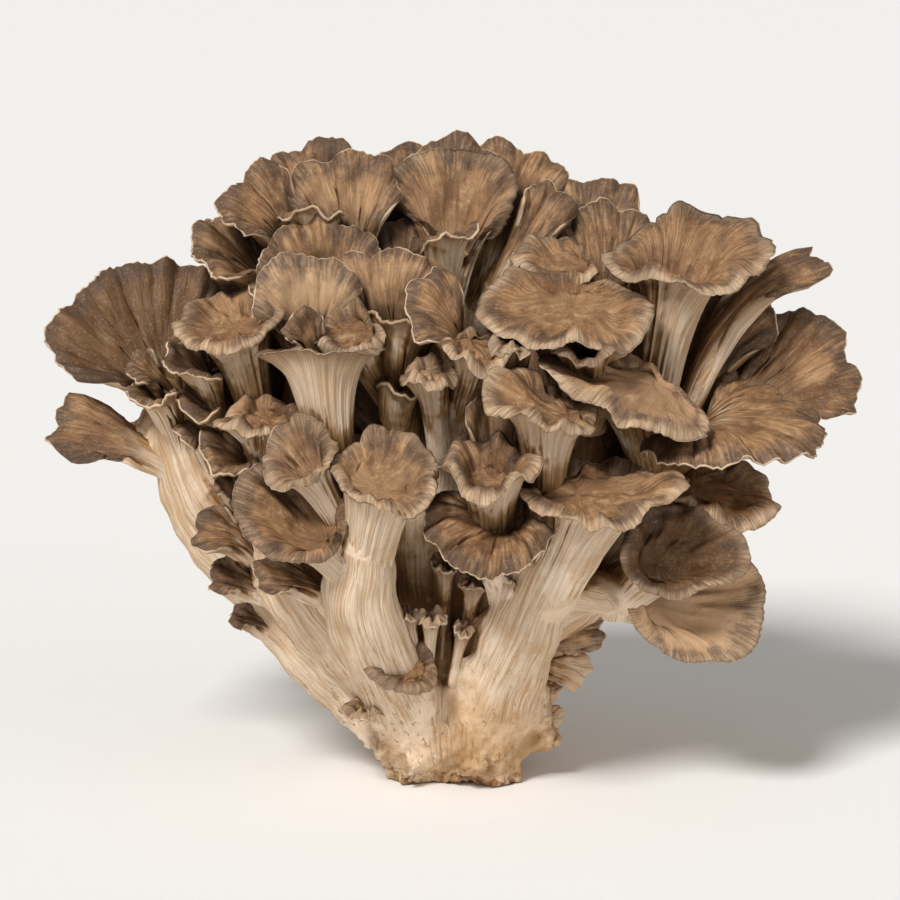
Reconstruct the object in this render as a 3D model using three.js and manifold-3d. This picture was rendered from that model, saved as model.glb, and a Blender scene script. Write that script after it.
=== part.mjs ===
// Maitake mushroom: a cluster of overlapping fan-shaped fronds on a branched stipe.
// Millimetres, +Z up. The origin is the middle of the flat face where the stipe was cut,
// and the side that was nearest the picker faces -Y.
import * as THREE from "three";
import Module from "manifold-3d";

const wasm = await Module();
wasm.setup();

// Driving dimensions, in mm.
const GAP = 0.3;                // clearance between neighbouring pieces
const STEM_THICKNESS = 5;       // front to back, where a frond leaves its branch
const CAP_THICKNESS = 2.4;      // flesh in the middle of a frond's blade
const MARGIN_THICKNESS = 1.3;   // flesh near a frond's margin
const BRANCH_DEPTH = 0.85;      // a branch is a little flatter front to back than it is wide
const BRANCH_SIDES = 10;
const BRANCH_STEPS = 6;
const BUTT_SIDES = 18;
const DISH_SIDES = 14;
const COLUMN_ANGLE = 32;        // widest step between two ribs of a frond's blade, in degrees
const ROWS = [0, 0.3, 0.6, 0.85, 0.97, 1];

const material = (color, roughness) => new THREE.MeshStandardMaterial({ color, roughness, metalness: 0 });
const PALE_FLESH = material(0xe2cfae, 0.8);
const BROWN_CAP = material(0x8d6f4c, 0.75);

const maitake = new THREE.Group();
const placed = [];

const vector = (xyz) => new THREE.Vector3(...xyz);

// A closed body from its corners' coordinates and its triangles, which face out.
function bodyOf(vertProperties, triVerts) {
  return new wasm.Manifold(new wasm.Mesh({ numProp: 3, vertProperties, triVerts }));
}

function solid(vertices, triangles) {
  return bodyOf(new Float32Array(vertices.flatMap((v) => [v.x, v.y, v.z])), new Uint32Array(triangles.flat()));
}

function boxesMeet(a, b) {
  return [0, 1, 2].every((axis) => a.min[axis] < b.max[axis] && b.min[axis] < a.max[axis]);
}

// Adds one piece, made by shape(extra), where extra swells it all over. What its neighbours
// already fill is cut away with the gap, and the largest body that is left is the piece.
function addPiece(name, look, shape) {
  const cut = (body, tool) => {
    const rest = body.subtract(tool);
    body.delete();
    return rest;
  };
  let body = shape(0);
  for (const neighbour of placed) {
    if (boxesMeet(body.boundingBox(), neighbour.swollen.boundingBox())) {
      body = cut(cut(body, neighbour.swollen), neighbour.body);
    }
  }
  const bodies = body.decompose();
  const largest = bodies.reduce((best, other) => (other.volume() > best.volume() ? other : best));
  const { vertProperties, triVerts } = largest.getMesh();
  placed.push({ body: bodyOf(vertProperties, triVerts), swollen: shape(GAP) });
  const geometry = new THREE.BufferGeometry();
  geometry.setAttribute("position", new THREE.BufferAttribute(vertProperties, 3));
  geometry.setIndex(new THREE.BufferAttribute(triVerts, 1));
  geometry.computeVertexNormals();
  const mesh = new THREE.Mesh(geometry, look);
  mesh.name = name;
  maitake.add(mesh);
}

// Joins rings of points, lowest first, into a closed body with flat ends.
function loft(rings) {
  const sides = rings[0].length;
  const vertices = rings.flat();
  const triangles = [];
  for (let ring = 0; ring + 1 < rings.length; ring += 1) {
    for (let k = 0; k < sides; k += 1) {
      const a = ring * sides + k;
      const b = ring * sides + (k + 1) % sides;
      triangles.push([a, b, b + sides], [a, b + sides, a + sides]);
    }
  }
  const last = (rings.length - 1) * sides;
  for (let k = 1; k + 1 < sides; k += 1) {
    triangles.push([0, k + 1, k], [last, last + k, last + k + 1]);
  }
  return solid(vertices, triangles);
}

// The butt: the swollen foot of the stipe, cut flat below. Each level is
// [height, middle in x, half width, half depth].
const BUTT = [
  [0, 0.5, 14.5, 17], [4, 2.5, 18, 19], [10, 4, 23, 23],
  [18, 3.5, 23.5, 24], [27, 1, 22, 21], [33, 0, 13, 12],
];

function butt(extra) {
  const top = BUTT.length - 1;
  return loft(BUTT.map(([height, middle, width, depth], level) => {
    const lift = level === 0 ? -extra : level === top ? extra : 0;
    return Array.from({ length: BUTT_SIDES }, (_, k) => {
      const angle = (k / BUTT_SIDES) * 2 * Math.PI;
      const lump = 1 + 0.05 * Math.sin(3 * angle + 1 + level) + 0.03 * Math.sin(5 * angle + 2 * level);
      return new THREE.Vector3(
        middle + Math.cos(angle) * (width * lump + extra),
        Math.sin(angle) * (depth * lump + extra),
        height + lift,
      );
    });
  }));
}

// A branch of the stipe: a tapering limb along a smooth curve through its points.
function branch(name, points, radii) {
  const curve = new THREE.CatmullRomCurve3(points.map(vector));
  addPiece(name, PALE_FLESH, (extra) => {
    const rings = [];
    for (let step = 0; step <= BRANCH_STEPS; step += 1) {
      const along = step / BRANCH_STEPS;
      const centre = curve.getPoint(along);
      const tangent = curve.getTangent(along);
      if (step === 0) centre.addScaledVector(tangent, -extra);
      if (step === BRANCH_STEPS) centre.addScaledVector(tangent, extra);
      const across = new THREE.Vector3(1, 0, 0).addScaledVector(tangent, -tangent.x).normalize();
      const through = tangent.clone().cross(across);
      const place = along * (radii.length - 1);
      const from = Math.min(Math.floor(place), radii.length - 2);
      const radius = THREE.MathUtils.lerp(radii[from], radii[from + 1], place - from) + extra;
      rings.push(Array.from({ length: BRANCH_SIDES }, (_, k) => {
        const angle = (k / BRANCH_SIDES) * 2 * Math.PI;
        return centre.clone()
          .addScaledVector(across, Math.cos(angle) * radius)
          .addScaledVector(through, Math.sin(angle) * radius * BRANCH_DEPTH);
      }));
    }
    return loft(rings);
  });
}

// A point of a frond's middle surface. t runs from the root (0) to the margin (1), and u from
// one side (-1) to the other (1). Every line of one u is a Bezier curve that leaves the root,
// bends over at the neck and runs out along its own rib.
function frondPoint(frond, t, u) {
  const { root, neck, tip, up, spread, stem, curl, fold } = frond;
  const reach = tip.clone().sub(neck);
  const height = reach.dot(up);
  const flat = reach.addScaledVector(up, -height);
  const radius = flat.length();
  const forward = flat.divideScalar(radius);
  const aside = up.clone().cross(forward);
  const angle = u * THREE.MathUtils.degToRad(spread);
  const phase = 0.7 * tip.x + 1.3 * tip.z;
  const lobes = 1 - 0.12 * Math.abs(u) ** 2.5 + 0.045 * Math.sin(6.9 * u + phase)
    + 0.03 * Math.sin(12.9 * u + 2 * phase);
  const rib = forward.clone().multiplyScalar(Math.cos(angle)).addScaledVector(aside, Math.sin(angle));
  const rise = height + fold * radius * u * u;
  const turn = neck.clone().addScaledVector(up, 0.75 * rise + curl * radius)
    .addScaledVector(rib, 0.5 * radius * lobes);
  const rim = neck.clone().addScaledVector(up, rise).addScaledVector(rib, radius * lobes);
  const side = aside.multiplyScalar(u * stem);
  return new THREE.Vector3()
    .addScaledVector(root.clone().addScaledVector(side, 0.9), (1 - t) ** 3)
    .addScaledVector(neck.clone().addScaledVector(side, 1.1), 3 * t * (1 - t) ** 2)
    .addScaledVector(turn, 3 * t * t * (1 - t))
    .addScaledVector(rim, t ** 3);
}

// Half the flesh at a point: an oval stem that thins out into the blade.
function halfThickness(t, u) {
  const blade = THREE.MathUtils.smoothstep(t, 0.3, 0.7);
  const margin = THREE.MathUtils.smoothstep(t, 0.6, 1);
  const flesh = THREE.MathUtils.lerp(CAP_THICKNESS, MARGIN_THICKNESS, margin);
  const oval = Math.sqrt(Math.max(0, 1 - u * u));
  return 0.5 * THREE.MathUtils.lerp(STEM_THICKNESS * oval, flesh, blade);
}

// The columns across a frond: close together at both sides, where the edge is rounded.
function columns(spread) {
  const inner = Math.max(2, Math.ceil((1.6 * spread) / COLUMN_ANGLE / 2) * 2);
  const middle = Array.from({ length: inner + 1 }, (_, k) => -0.8 + (1.6 * k) / inner);
  return [-1, -0.95, ...middle, 0.95, 1];
}

// A frond: a stem that widens into a thin fan or cap. The upper surface faces along up.
function frond(name, root, neck, tip, up, spread, stem, curl, fold) {
  const shape = {
    root: vector(root), neck: vector(neck), tip: vector(tip), up: vector(up).normalize(),
    spread, stem, curl, fold,
  };
  const across = columns(spread);
  const lastRow = ROWS.length - 1;
  const lastColumn = across.length - 1;
  addPiece(name, BROWN_CAP, (extra) => {
    const vertices = [];
    const upper = [];
    const lower = [];
    ROWS.forEach((t, row) => {
      upper.push([]);
      lower.push([]);
      across.forEach((u, column) => {
        const middle = frondPoint(shape, t, u);
        const along = frondPoint(shape, t + 0.01, u).sub(frondPoint(shape, t - 0.01, u)).normalize();
        const aside = frondPoint(shape, t, u + 0.01).sub(frondPoint(shape, t, u - 0.01)).normalize();
        const normal = along.clone().cross(aside).normalize();
        if (row === 0) middle.addScaledVector(along, -extra);
        if (row === lastRow) middle.addScaledVector(along, extra);
        if (column === 0) middle.addScaledVector(aside, -extra);
        if (column === lastColumn) middle.addScaledVector(aside, extra);
        const half = halfThickness(t, u) + extra;
        const onEdge = row === lastRow || column === 0 || column === lastColumn;
        upper[row].push(vertices.length);
        vertices.push(onEdge ? middle : middle.clone().addScaledVector(normal, half));
        lower[row].push(onEdge ? upper[row][column] : vertices.length);
        if (!onEdge) vertices.push(middle.clone().addScaledVector(normal, -half));
      });
    });
    const triangles = [];
    for (let row = 0; row < lastRow; row += 1) {
      for (let column = 0; column < lastColumn; column += 1) {
        for (const [sheet, flip] of [[upper, false], [lower, true]]) {
          const a = sheet[row][column];
          const b = sheet[row + 1][column];
          const c = sheet[row + 1][column + 1];
          const d = sheet[row][column + 1];
          triangles.push(flip ? [a, c, b] : [a, b, c], flip ? [a, d, c] : [a, c, d]);
        }
      }
    }
    for (let column = 0; column < lastColumn; column += 1) {
      const [a, b] = [upper[0][column], upper[0][column + 1]];
      const [c, d] = [lower[0][column + 1], lower[0][column]];
      if (b !== c) triangles.push([a, b, c]);
      if (a !== d) triangles.push([a, c, d]);
    }
    return solid(vertices, triangles);
  });
}

// A point of a dish's outer wall, at an angle round its axis. t runs from root to margin. The
// margin is an oval, and hangs down by the droop, most of all in front.
function dishPoint({ root, neck, rim, up, across, deep, stem, droop, flare }, t, angle) {
  const facing = rim.y < 12 ? -1 : 1;
  const forward = new THREE.Vector3(0, facing, 0).addScaledVector(up, -facing * up.y).normalize();
  const aside = up.clone().cross(forward);
  const away = forward.multiplyScalar(Math.cos(angle)).addScaledVector(aside, Math.sin(angle));
  const oval = 1 / Math.hypot(Math.cos(angle) / deep, Math.sin(angle) / across);
  const radius = oval * (1 + 0.05 * Math.sin(3 * angle + rim.x) + 0.03 * Math.sin(5 * angle + rim.z));
  const bend = THREE.MathUtils.smoothstep(t, 0.76, 1) ** 1.7;
  return new THREE.Vector3()
    .addScaledVector(root.clone().addScaledVector(away, stem * 0.9), (1 - t) ** 3)
    .addScaledVector(neck.clone().addScaledVector(away, stem * 1.1), 3 * t * (1 - t) ** 2)
    .addScaledVector(neck.clone().lerp(rim, 0.78).addScaledVector(away, radius * flare), 3 * t * t * (1 - t))
    .addScaledVector(rim.clone().addScaledVector(away, radius), t ** 3)
    .addScaledVector(up, -droop * (0.6 + 0.4 * Math.cos(angle)) * bend);
}

// A dish: a frond that has closed round its stem into a cap or a cup, with a bowl for its floor.
function dish(name, root, neck, rim, up, across, deep, stem, floor, droop, flare) {
  const shape = {
    root: vector(root), neck: vector(neck), rim: vector(rim), up: vector(up).normalize(),
    across, deep, stem, droop, flare,
  };
  addPiece(name, BROWN_CAP, (extra) => {
    const ring = (t, lift, inside) => Array.from({ length: DISH_SIDES }, (_, k) => {
      const angle = (k / DISH_SIDES) * 2 * Math.PI;
      const point = dishPoint(shape, t, angle);
      const along = dishPoint(shape, t + 0.01, angle).sub(dishPoint(shape, t - 0.01, angle)).normalize();
      const round = dishPoint(shape, t, angle + 0.05).sub(dishPoint(shape, t, angle - 0.05)).normalize();
      if (t === 0) point.addScaledVector(along, -extra);
      if (t === 1) point.addScaledVector(along, extra);
      point.addScaledVector(along.cross(round), lift);
      if (!inside) return point;
      const fromRim = point.clone().sub(shape.rim);
      const height = fromRim.dot(shape.up);
      const out = fromRim.addScaledVector(shape.up, -height).length();
      const part = out * Math.hypot(Math.cos(angle) / deep, Math.sin(angle) / across);
      const bowl = extra - 0.4 - floor * Math.max(0, 1 - part * part);
      return point.addScaledVector(shape.up, Math.max(0, bowl - height));
    });
    const outer = [0, 0.3, 0.5, 0.7, 0.85, 0.97].map((t) => ring(t, -extra, false));
    const inner = [0.97, 0.85, 0.7, 0.5].map((t) => ring(t, CAP_THICKNESS + extra, true));
    return loft([...outer, ring(1, CAP_THICKNESS / 2, false), ...inner]);
  });
}

// The stipe: points along each branch, then its radius at even steps from foot to end.
addPiece("butt", PALE_FLESH, butt);
branch(
  "left_outer_branch",
  [[-12, -6, 15], [-28, -8, 33], [-44, -8, 52], [-59, -8, 72], [-66, -8, 88]],
  [11, 11.5, 10.5, 7],
);
branch(
  "left_inner_branch",
  [[-10, -10, 18], [-26, -19, 38], [-38, -22, 56], [-45, -20, 76], [-48, -12, 92]],
  [9, 8, 7, 5],
);
branch(
  "front_left_branch",
  [[-6, -14, 16], [-14, -26, 34], [-19.5, -36, 52], [-18.5, -40, 63]],
  [9, 9, 9.5, 7.5],
);
branch(
  "front_right_branch",
  [[10, -10, 14], [15, -20, 30], [21, -29, 46], [27, -35, 62]],
  [12, 11, 10, 8],
);
branch("right_arm", [[16, -20, 40], [30, -22, 49], [42, -25, 52], [48, -26, 51]], [7, 6.5, 5.5, 5]);
branch(
  "right_branch",
  [[13, -4, 18], [23, -7, 36], [36, -10, 50], [49, -12, 62], [59, -12, 78], [62, -10, 86]],
  [12, 10.5, 9.5, 9, 7.5, 6],
);
branch(
  "core_branch",
  [[0, 0, 24], [-2, -4, 48], [-3, -6, 78], [-1, 0, 102], [0, 6, 116]],
  [12, 11, 10, 8],
);
branch(
  "core_left_branch",
  [[-10, 2, 24], [-22, 2, 52], [-31, -2, 82], [-30, 2, 104], [-27, 6, 116]],
  [10, 9, 8, 6],
);
branch("core_right_branch", [[8, 2, 24], [23, 0, 52], [34, -2, 80], [36, 4, 100]], [10, 9, 8, 7]);
branch("back_left_branch", [[-8, 10, 20], [-25, 24, 44], [-37, 31, 66], [-42, 32, 82]], [10, 9, 8, 7]);
branch("back_middle_branch", [[0, 12, 20], [0, 27, 44], [0, 34, 68], [0, 32, 90]], [11, 9, 8, 7]);
branch("back_right_branch", [[10, 10, 20], [27, 22, 44], [40, 29, 66], [46, 30, 82]], [10, 9, 8, 7]);

// The fronds: name, root, neck, tip, the way the upper surface faces, half spread in degrees,
// half width of the stem, how far the blade curls up early, and how far its sides fold up.
// The dishes: name, root, neck, middle of the rim, the way the rim faces, its half width and
// half depth, half width of the stem, depth of the bowl, droop of the margin, and the flare.
// The crown, left to right.
frond("crown_left_front", [-25, 2, 108], [-22, -3, 137], [-25, 3, 157], [0.05, -0.9, 0.4], 64, 4, 0, 0);
frond("crown_left_outer", [-30, 2, 110], [-36, 2, 135], [-53, -2, 149], [-0.1, -0.7, 0.65], 64, 4, 0, 0.05);
frond("crown_left_back", [-27, 6, 108], [-29, 12, 140], [-35, 16, 158], [-0.2, -0.85, 0.5], 62, 4, 0, 0);
dish(
  "crown_middle", [0, 4, 110], [3, 0, 130], [3.8, 5, 146], [0, -0.9, 0.42],
  16.2, 12.6, 4.5, 3.5, 1.0, 0.5,
);
frond("crown_middle_back", [-1, 8, 104], [-5, 14, 138], [-4, 22, 156.5], [0, -0.9, 0.45], 66, 4, 0, 0);
frond("crown_right_rear", [4, 8, 104], [15, 12, 136], [21, 20, 157], [0.1, -0.9, 0.45], 52, 4, 0, 0);
frond("crown_right_back", [37, 7, 92], [38, 30, 124], [40, 36, 146], [0, -0.9, 0.45], 52, 4, 0, 0);
frond("tall_scoop", [36, 4, 98], [42, 6, 122], [42, 16, 142], [0, -0.92, 0.4], 40, 4.5, 0, 0.15);
// The left side.
frond("upper_left_cup", [-34, 0, 104], [-44, 0, 125], [-61, -4, 136], [0.1, -0.45, 0.85], 80, 4, -0.1, 0.15);
frond("crown_mid_left", [-29, -2, 94], [-28, -12, 122], [-35, -8, 141], [0, -0.85, 0.5], 88, 4, 0, 0.1);
frond("big_left_fan", [-60, -6, 84], [-71, -8, 103.5], [-75, 3, 129.5], [0.2, -0.8, 0.55], 98, 5, -0.05, 0.1);
frond("low_left_tongue", [-60, -8, 74], [-76, -12, 86], [-95, -14, 93.5], [0.2, -0.75, 0.6], 40, 3.2, 0.1, -0.1);
frond("left_outer_cap", [-62, -9, 80], [-67, -12, 94], [-75, -22, 99], [-0.2, -0.45, 0.85], 92, 4, -0.1, 0);
frond("left_small_cup", [-48, -14, 86], [-57, -14, 101], [-67, -22, 109], [0.1, -0.4, 0.9], 92, 3.5, -0.1, 0.1);
dish(
  "left_wide_cap", [-43, -15, 82], [-47, -17, 108.5], [-51.5, -22, 119.8], [-0.16, -0.42, 0.89],
  14, 12.5, 4, 2.5, 2.4, 0.5,
);
dish(
  "left_shelf", [-42, -20, 70], [-42.5, -27, 89], [-42.5, -33, 97.3], [0, -0.3, 0.95],
  12, 9.5, 3.5, 2, 2.2, 0.5,
);
frond("left_lower_cup", [-42, -18, 70], [-47, -22, 83], [-58, -30, 88], [0.05, -0.5, 0.85], 88, 3.5, -0.1, 0.1);
// The middle.
frond("round_fan_left", [-29, -4, 90], [-31, -24, 117], [-35, -20, 135], [0.02, -0.88, 0.45], 70, 3.5, 0, 0);
frond("round_fan_right", [-4, -6, 88], [-14, -18, 117], [-13, -14, 136], [0.02, -0.88, 0.45], 72, 4, 0, 0);
dish(
  "centre_trumpet", [-20, -33, 58], [-28, -34, 93], [-28, -34, 114], [-0.03, 0.16, 0.98],
  15.5, 12.5, 5, 7, 0.6, 0.25,
);
dish(
  "ruffled_cap", [-5, -7, 84], [-18, -24, 108], [-22, -32, 118], [-0.1, -0.45, 0.88],
  9.5, 9.5, 3.2, 2.5, 2.2, 0.45,
);
dish(
  "wavy_cap", [1, -8, 80], [7, -29, 104.5], [9.7, -36, 115.3], [0.06, -0.28, 0.95],
  10.5, 9.2, 3.5, 2, 2.2, 0.4,
);
frond("inner_scoop", [19, -27, 46], [14, -36, 86], [14, -34, 103], [0, -0.9, 0.4], 44, 4, 0, 0.1);
dish(
  "wavy_ring", [17, -26, 44], [11.5, -44, 74], [12, -50, 90], [0, -0.28, 0.96],
  13, 12, 4.2, 7, 2.6, 0.36,
);
// The right side.
dish(
  "upper_right_flap", [38, 0, 100], [34, -5, 122], [28.5, -10, 132], [0.12, -0.26, 0.95],
  12, 12, 4, 2, 2.8, 0.42,
);
dish(
  "right_funnel", [50, -11, 64], [52, -10, 112], [61.5, -10, 135.5], [-0.04, -0.27, 0.96],
  22.5, 19.5, 5.2, 12, 3.8, 0.26,
);
frond("far_right_tongue", [58, -8, 82], [67, -4, 118], [94.5, 2, 131], [-0.2, -0.6, 0.77], 21, 3.6, 0, 0);
dish(
  "right_upper_shelf", [34, -2, 88], [31, -20, 112.5], [30.5, -30, 123.5], [0.05, -0.42, 0.9],
  21, 16.5, 5, 3, 3.2, 0.5,
);
dish(
  "wavy_shelf", [25, -31, 54], [25, -40, 89.5], [25, -46, 104], [0.34, -0.3, 0.9],
  14.5, 12, 4.4, 2.5, 2.8, 0.4,
);
dish(
  "draped_shelf", [52, -10, 76], [47, -26, 96], [45, -37, 105.5], [0.33, -0.33, 0.88],
  22.5, 13.5, 5, 1.5, 3.0, 0.5,
);
frond("right_outer_fan", [60, -10, 78], [80, -2, 96], [101, 2, 110], [-0.1, -0.75, 0.62], 58, 5, 0, 0);
frond("big_right_fan", [58, -10, 78], [66, -18, 96], [90, -33, 88], [0.12, -0.27, 0.955], 104, 5.5, 0.05, 0);
// The front, below.
dish(
  "front_left_fan", [-20, -38, 62], [-27, -45, 81], [-34, -48, 91.5], [-0.22, -0.72, 0.66],
  9.8, 9.8, 3.2, 3, 1.6, 0.4,
);
dish(
  "front_round_cap", [-18.5, -38, 58], [-16, -44, 74], [-12.5, -50, 88.5], [0.04, -0.6, 0.8],
  14.2, 12.5, 6.6, 3.5, 2.6, 0.5,
);
dish(
  "front_left_scoop", [-20, -38, 56], [-27, -44, 67], [-36, -48, 77], [0.22, -0.78, 0.6],
  15, 13, 4.5, 7, 0.8, 0.5,
);
dish(
  "front_right_shelf", [26, -33, 52], [34, -40, 70.5], [38.5, -49, 82.3], [-0.04, -0.24, 0.97],
  22.5, 12.5, 8, 3, 2.8, 0.5,
);
dish(
  "dark_drooping_fan", [44, -25, 48], [52, -32, 58], [58.5, -40, 65.5], [0.05, -0.86, 0.5],
  17.5, 11.5, 4.5, 3, 1.6, 0.5,
);
dish(
  "low_right_fan", [40, -24, 48], [53, -27, 48.5], [64, -32, 49.5], [-0.05, -0.93, 0.36],
  16.5, 15.5, 4, 1.5, 1.6, 0.5,
);
frond("ruffled_front_fan", [18, -28, 54], [13, -46, 75], [6, -60, 65], [0, -0.75, 0.65], 94, 4.5, 0.1, 0);
// The back.
frond("back_crown_left", [-28, 5, 98], [-26, 26, 124], [-31, 34, 146], [-0.1, 0.85, 0.5], 75, 4.5, 0, 0);
frond("back_crown_right", [3, 30, 84], [14, 28, 124], [19, 36, 148], [0.1, 0.85, 0.5], 72, 4.5, 0, 0.05);
dish(
  "back_middle_fan", [0, 28, 78], [-1, 37, 96], [-2, 44, 111], [0, 0.5, 0.87],
  15.5, 13, 4.5, 4, 3.0, 0.42,
);
dish(
  "back_left_fan", [-42, 28, 70], [-50, 36, 86], [-60, 40, 99], [-0.25, 0.5, 0.83],
  16.5, 14, 4.5, 4, 3.0, 0.42,
);
dish(
  "back_right_fan", [46, 26, 70], [55, 33, 88], [66, 36, 101], [0.25, 0.5, 0.83],
  16.5, 14, 4.5, 4, 3.0, 0.42,
);
dish(
  "back_low_shelf", [0, 30, 50], [3, 42, 65], [5, 51, 77], [0, 0.42, 0.9],
  17.5, 13.5, 5, 3, 3.4, 0.45,
);
dish(
  "back_left_shelf", [-34, 26, 52], [-44, 36, 61], [-53, 44, 71], [-0.2, 0.42, 0.88],
  16, 13, 4.5, 3, 3.2, 0.45,
);
dish(
  "back_right_shelf", [38, 24, 50], [48, 34, 62], [58, 42, 73], [0.2, 0.42, 0.88],
  16, 13, 4.5, 3, 3.2, 0.45,
);

export default maitake;
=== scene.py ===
import math

import bpy
import numpy as np
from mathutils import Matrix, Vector


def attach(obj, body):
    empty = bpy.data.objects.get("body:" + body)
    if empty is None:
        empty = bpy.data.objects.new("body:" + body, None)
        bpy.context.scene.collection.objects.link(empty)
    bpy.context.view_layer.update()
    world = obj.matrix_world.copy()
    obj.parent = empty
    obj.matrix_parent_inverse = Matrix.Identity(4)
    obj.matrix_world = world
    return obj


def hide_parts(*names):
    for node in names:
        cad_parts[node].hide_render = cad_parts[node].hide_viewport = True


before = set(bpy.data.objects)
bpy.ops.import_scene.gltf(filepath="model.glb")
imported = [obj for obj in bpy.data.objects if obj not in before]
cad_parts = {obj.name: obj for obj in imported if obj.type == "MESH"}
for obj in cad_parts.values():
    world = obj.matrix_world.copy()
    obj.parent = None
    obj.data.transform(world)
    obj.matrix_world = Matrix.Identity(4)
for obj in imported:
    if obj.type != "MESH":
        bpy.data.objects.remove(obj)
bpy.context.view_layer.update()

# ---------------------------------------------------------------------------------------------
# The studio: a pale floor, a camera a little above the level of the cluster, one soft
# light high on the left, a weaker one on the right, and an even pale surround.

view_target = Vector((0.0025, 0.0, 0.0818))
view_angle = math.radians(12)
camera_data = bpy.data.cameras.new("studio_camera")
camera_data.lens = 160
camera_data.sensor_width = 36
camera_data.clip_start = 0.01
camera_data.clip_end = 20
studio_camera = bpy.data.objects.new("studio_camera", camera_data)
bpy.context.scene.collection.objects.link(studio_camera)
studio_camera.location = view_target + Vector((0, -math.cos(view_angle), math.sin(view_angle)))
studio_camera.rotation_euler = (math.pi / 2 - view_angle, 0, 0)
bpy.context.scene.camera = studio_camera
bpy.context.scene.view_settings.view_transform = "Standard"

surround = bpy.data.worlds.new("pale_surround")
surround.use_nodes = True
surround.node_tree.nodes["Background"].inputs["Color"].default_value = (1.0, 0.985, 0.96, 1)
surround.node_tree.nodes["Background"].inputs["Strength"].default_value = 0.31
bpy.context.scene.world = surround


def soft_sun(name, direction, strength, softness, colour):
    sun_data = bpy.data.lights.new(name, "SUN")
    sun_data.energy = strength
    sun_data.angle = math.radians(softness)
    sun_data.color = colour
    sun = bpy.data.objects.new(name, sun_data)
    bpy.context.scene.collection.objects.link(sun)
    sun.rotation_mode = "QUATERNION"
    sun.rotation_quaternion = Vector(direction).to_track_quat("-Z", "Y")


soft_sun("window_light", (0.42, 0.72, -0.85), 2.75, 16, (1.0, 0.985, 0.96))
soft_sun("fill_light", (-0.75, 0.6, -0.35), 0.45, 60, (1.0, 0.97, 0.93))

bpy.ops.object.select_all(action="DESELECT")
bpy.ops.mesh.primitive_plane_add(size=8, location=(0, 0, -0.0005))
studio_floor = bpy.context.object
studio_floor.name = "studio_floor"
floor_paint = bpy.data.materials.new("floor_paint")
floor_paint.use_nodes = True
floor_paint.node_tree.nodes["Principled BSDF"].inputs["Base Color"].default_value = (0.93, 0.925, 0.915, 1)
floor_paint.node_tree.nodes["Principled BSDF"].inputs["Roughness"].default_value = 0.9
studio_floor.data.materials.append(floor_paint)

# ---------------------------------------------------------------------------------------------
# The crown: thin brown fan-shaped fronds that stand on edge at the top of the cluster. Each one
# is a stalk that widens into a blade, brown and finely fibrous above, cream and ridged below,
# with a thin pale margin. The two finishes, brown cap skin and cream flesh, are made here.


class Wire:
    """What a socket of a node tree puts out. Sums and products of wires are nodes of that tree."""

    def __init__(self, tree, socket):
        self.tree, self.socket = tree, socket

    def maths(self, operation, other, clamp=False):
        settings = {"operation": operation, "use_clamp": clamp}
        return add_node(self.tree, "ShaderNodeMath", 0, settings, i0=self, i1=other)

    def __add__(self, other):
        return self.maths("ADD", other)

    def __sub__(self, other):
        return self.maths("SUBTRACT", other)

    def __mul__(self, other):
        return self.maths("MULTIPLY", other)

    def ramp(self, low, high, to_low=0.0, to_high=1.0):
        limits = {"From Min": low, "From Max": high, "To Min": to_low, "To Max": to_high}
        smooth = {"interpolation_type": "SMOOTHSTEP"}
        return add_node(self.tree, "ShaderNodeMapRange", 0, smooth, Value=self, **limits)

    def split(self):
        parts = add_node(self.tree, "ShaderNodeSeparateXYZ", 0, Vector=self)
        return parts.all_outputs()

    def all_outputs(self):
        return [Wire(self.tree, socket) for socket in self.socket.node.outputs]


def plug(value, socket, tree):
    if isinstance(value, Wire):
        tree.links.new(value.socket, socket)
    else:
        socket.default_value = value


def add_node(tree, kind, output, settings=None, **inputs):
    node = tree.nodes.new(kind)
    for key, value in (settings or {}).items():
        setattr(node, key, value)
    for key, value in inputs.items():
        plug(value, node.inputs[int(key[1:]) if key[1:].isdigit() else key], tree)
    return Wire(tree, node.outputs[output])


def colour_mix(amount, first, second, blend="MIX"):
    settings = {"data_type": "RGBA", "blend_type": blend}
    return add_node(amount.tree, "ShaderNodeMix", 2, settings, i0=amount, i6=first, i7=second)


def value_mix(amount, first, second):
    return add_node(amount.tree, "ShaderNodeMix", 0, i0=amount, i2=first, i3=second)


def noise(place, scale, detail, roughness, distortion=0.0):
    return add_node(
        place.tree, "ShaderNodeTexNoise", "Fac",
        Vector=place, Scale=scale, Detail=detail, Roughness=roughness, Distortion=distortion,
    )


def use_group(group, tree, **inputs):
    return add_node(tree, "ShaderNodeGroup", 0, {"node_tree": group}, **inputs).all_outputs()


def new_group(name, inputs, outputs):
    tree = bpy.data.node_groups.new(name, "ShaderNodeTree")
    for sockets, way in ((inputs, "INPUT"), (outputs, "OUTPUT")):
        for label, kind in sockets.items():
            tree.interface.new_socket(name=label, in_out=way, socket_type="NodeSocket" + kind)
    given = [Wire(tree, socket) for socket in tree.nodes.new("NodeGroupInput").outputs if socket.name]
    return tree, given, tree.nodes.new("NodeGroupOutput").inputs


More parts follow.
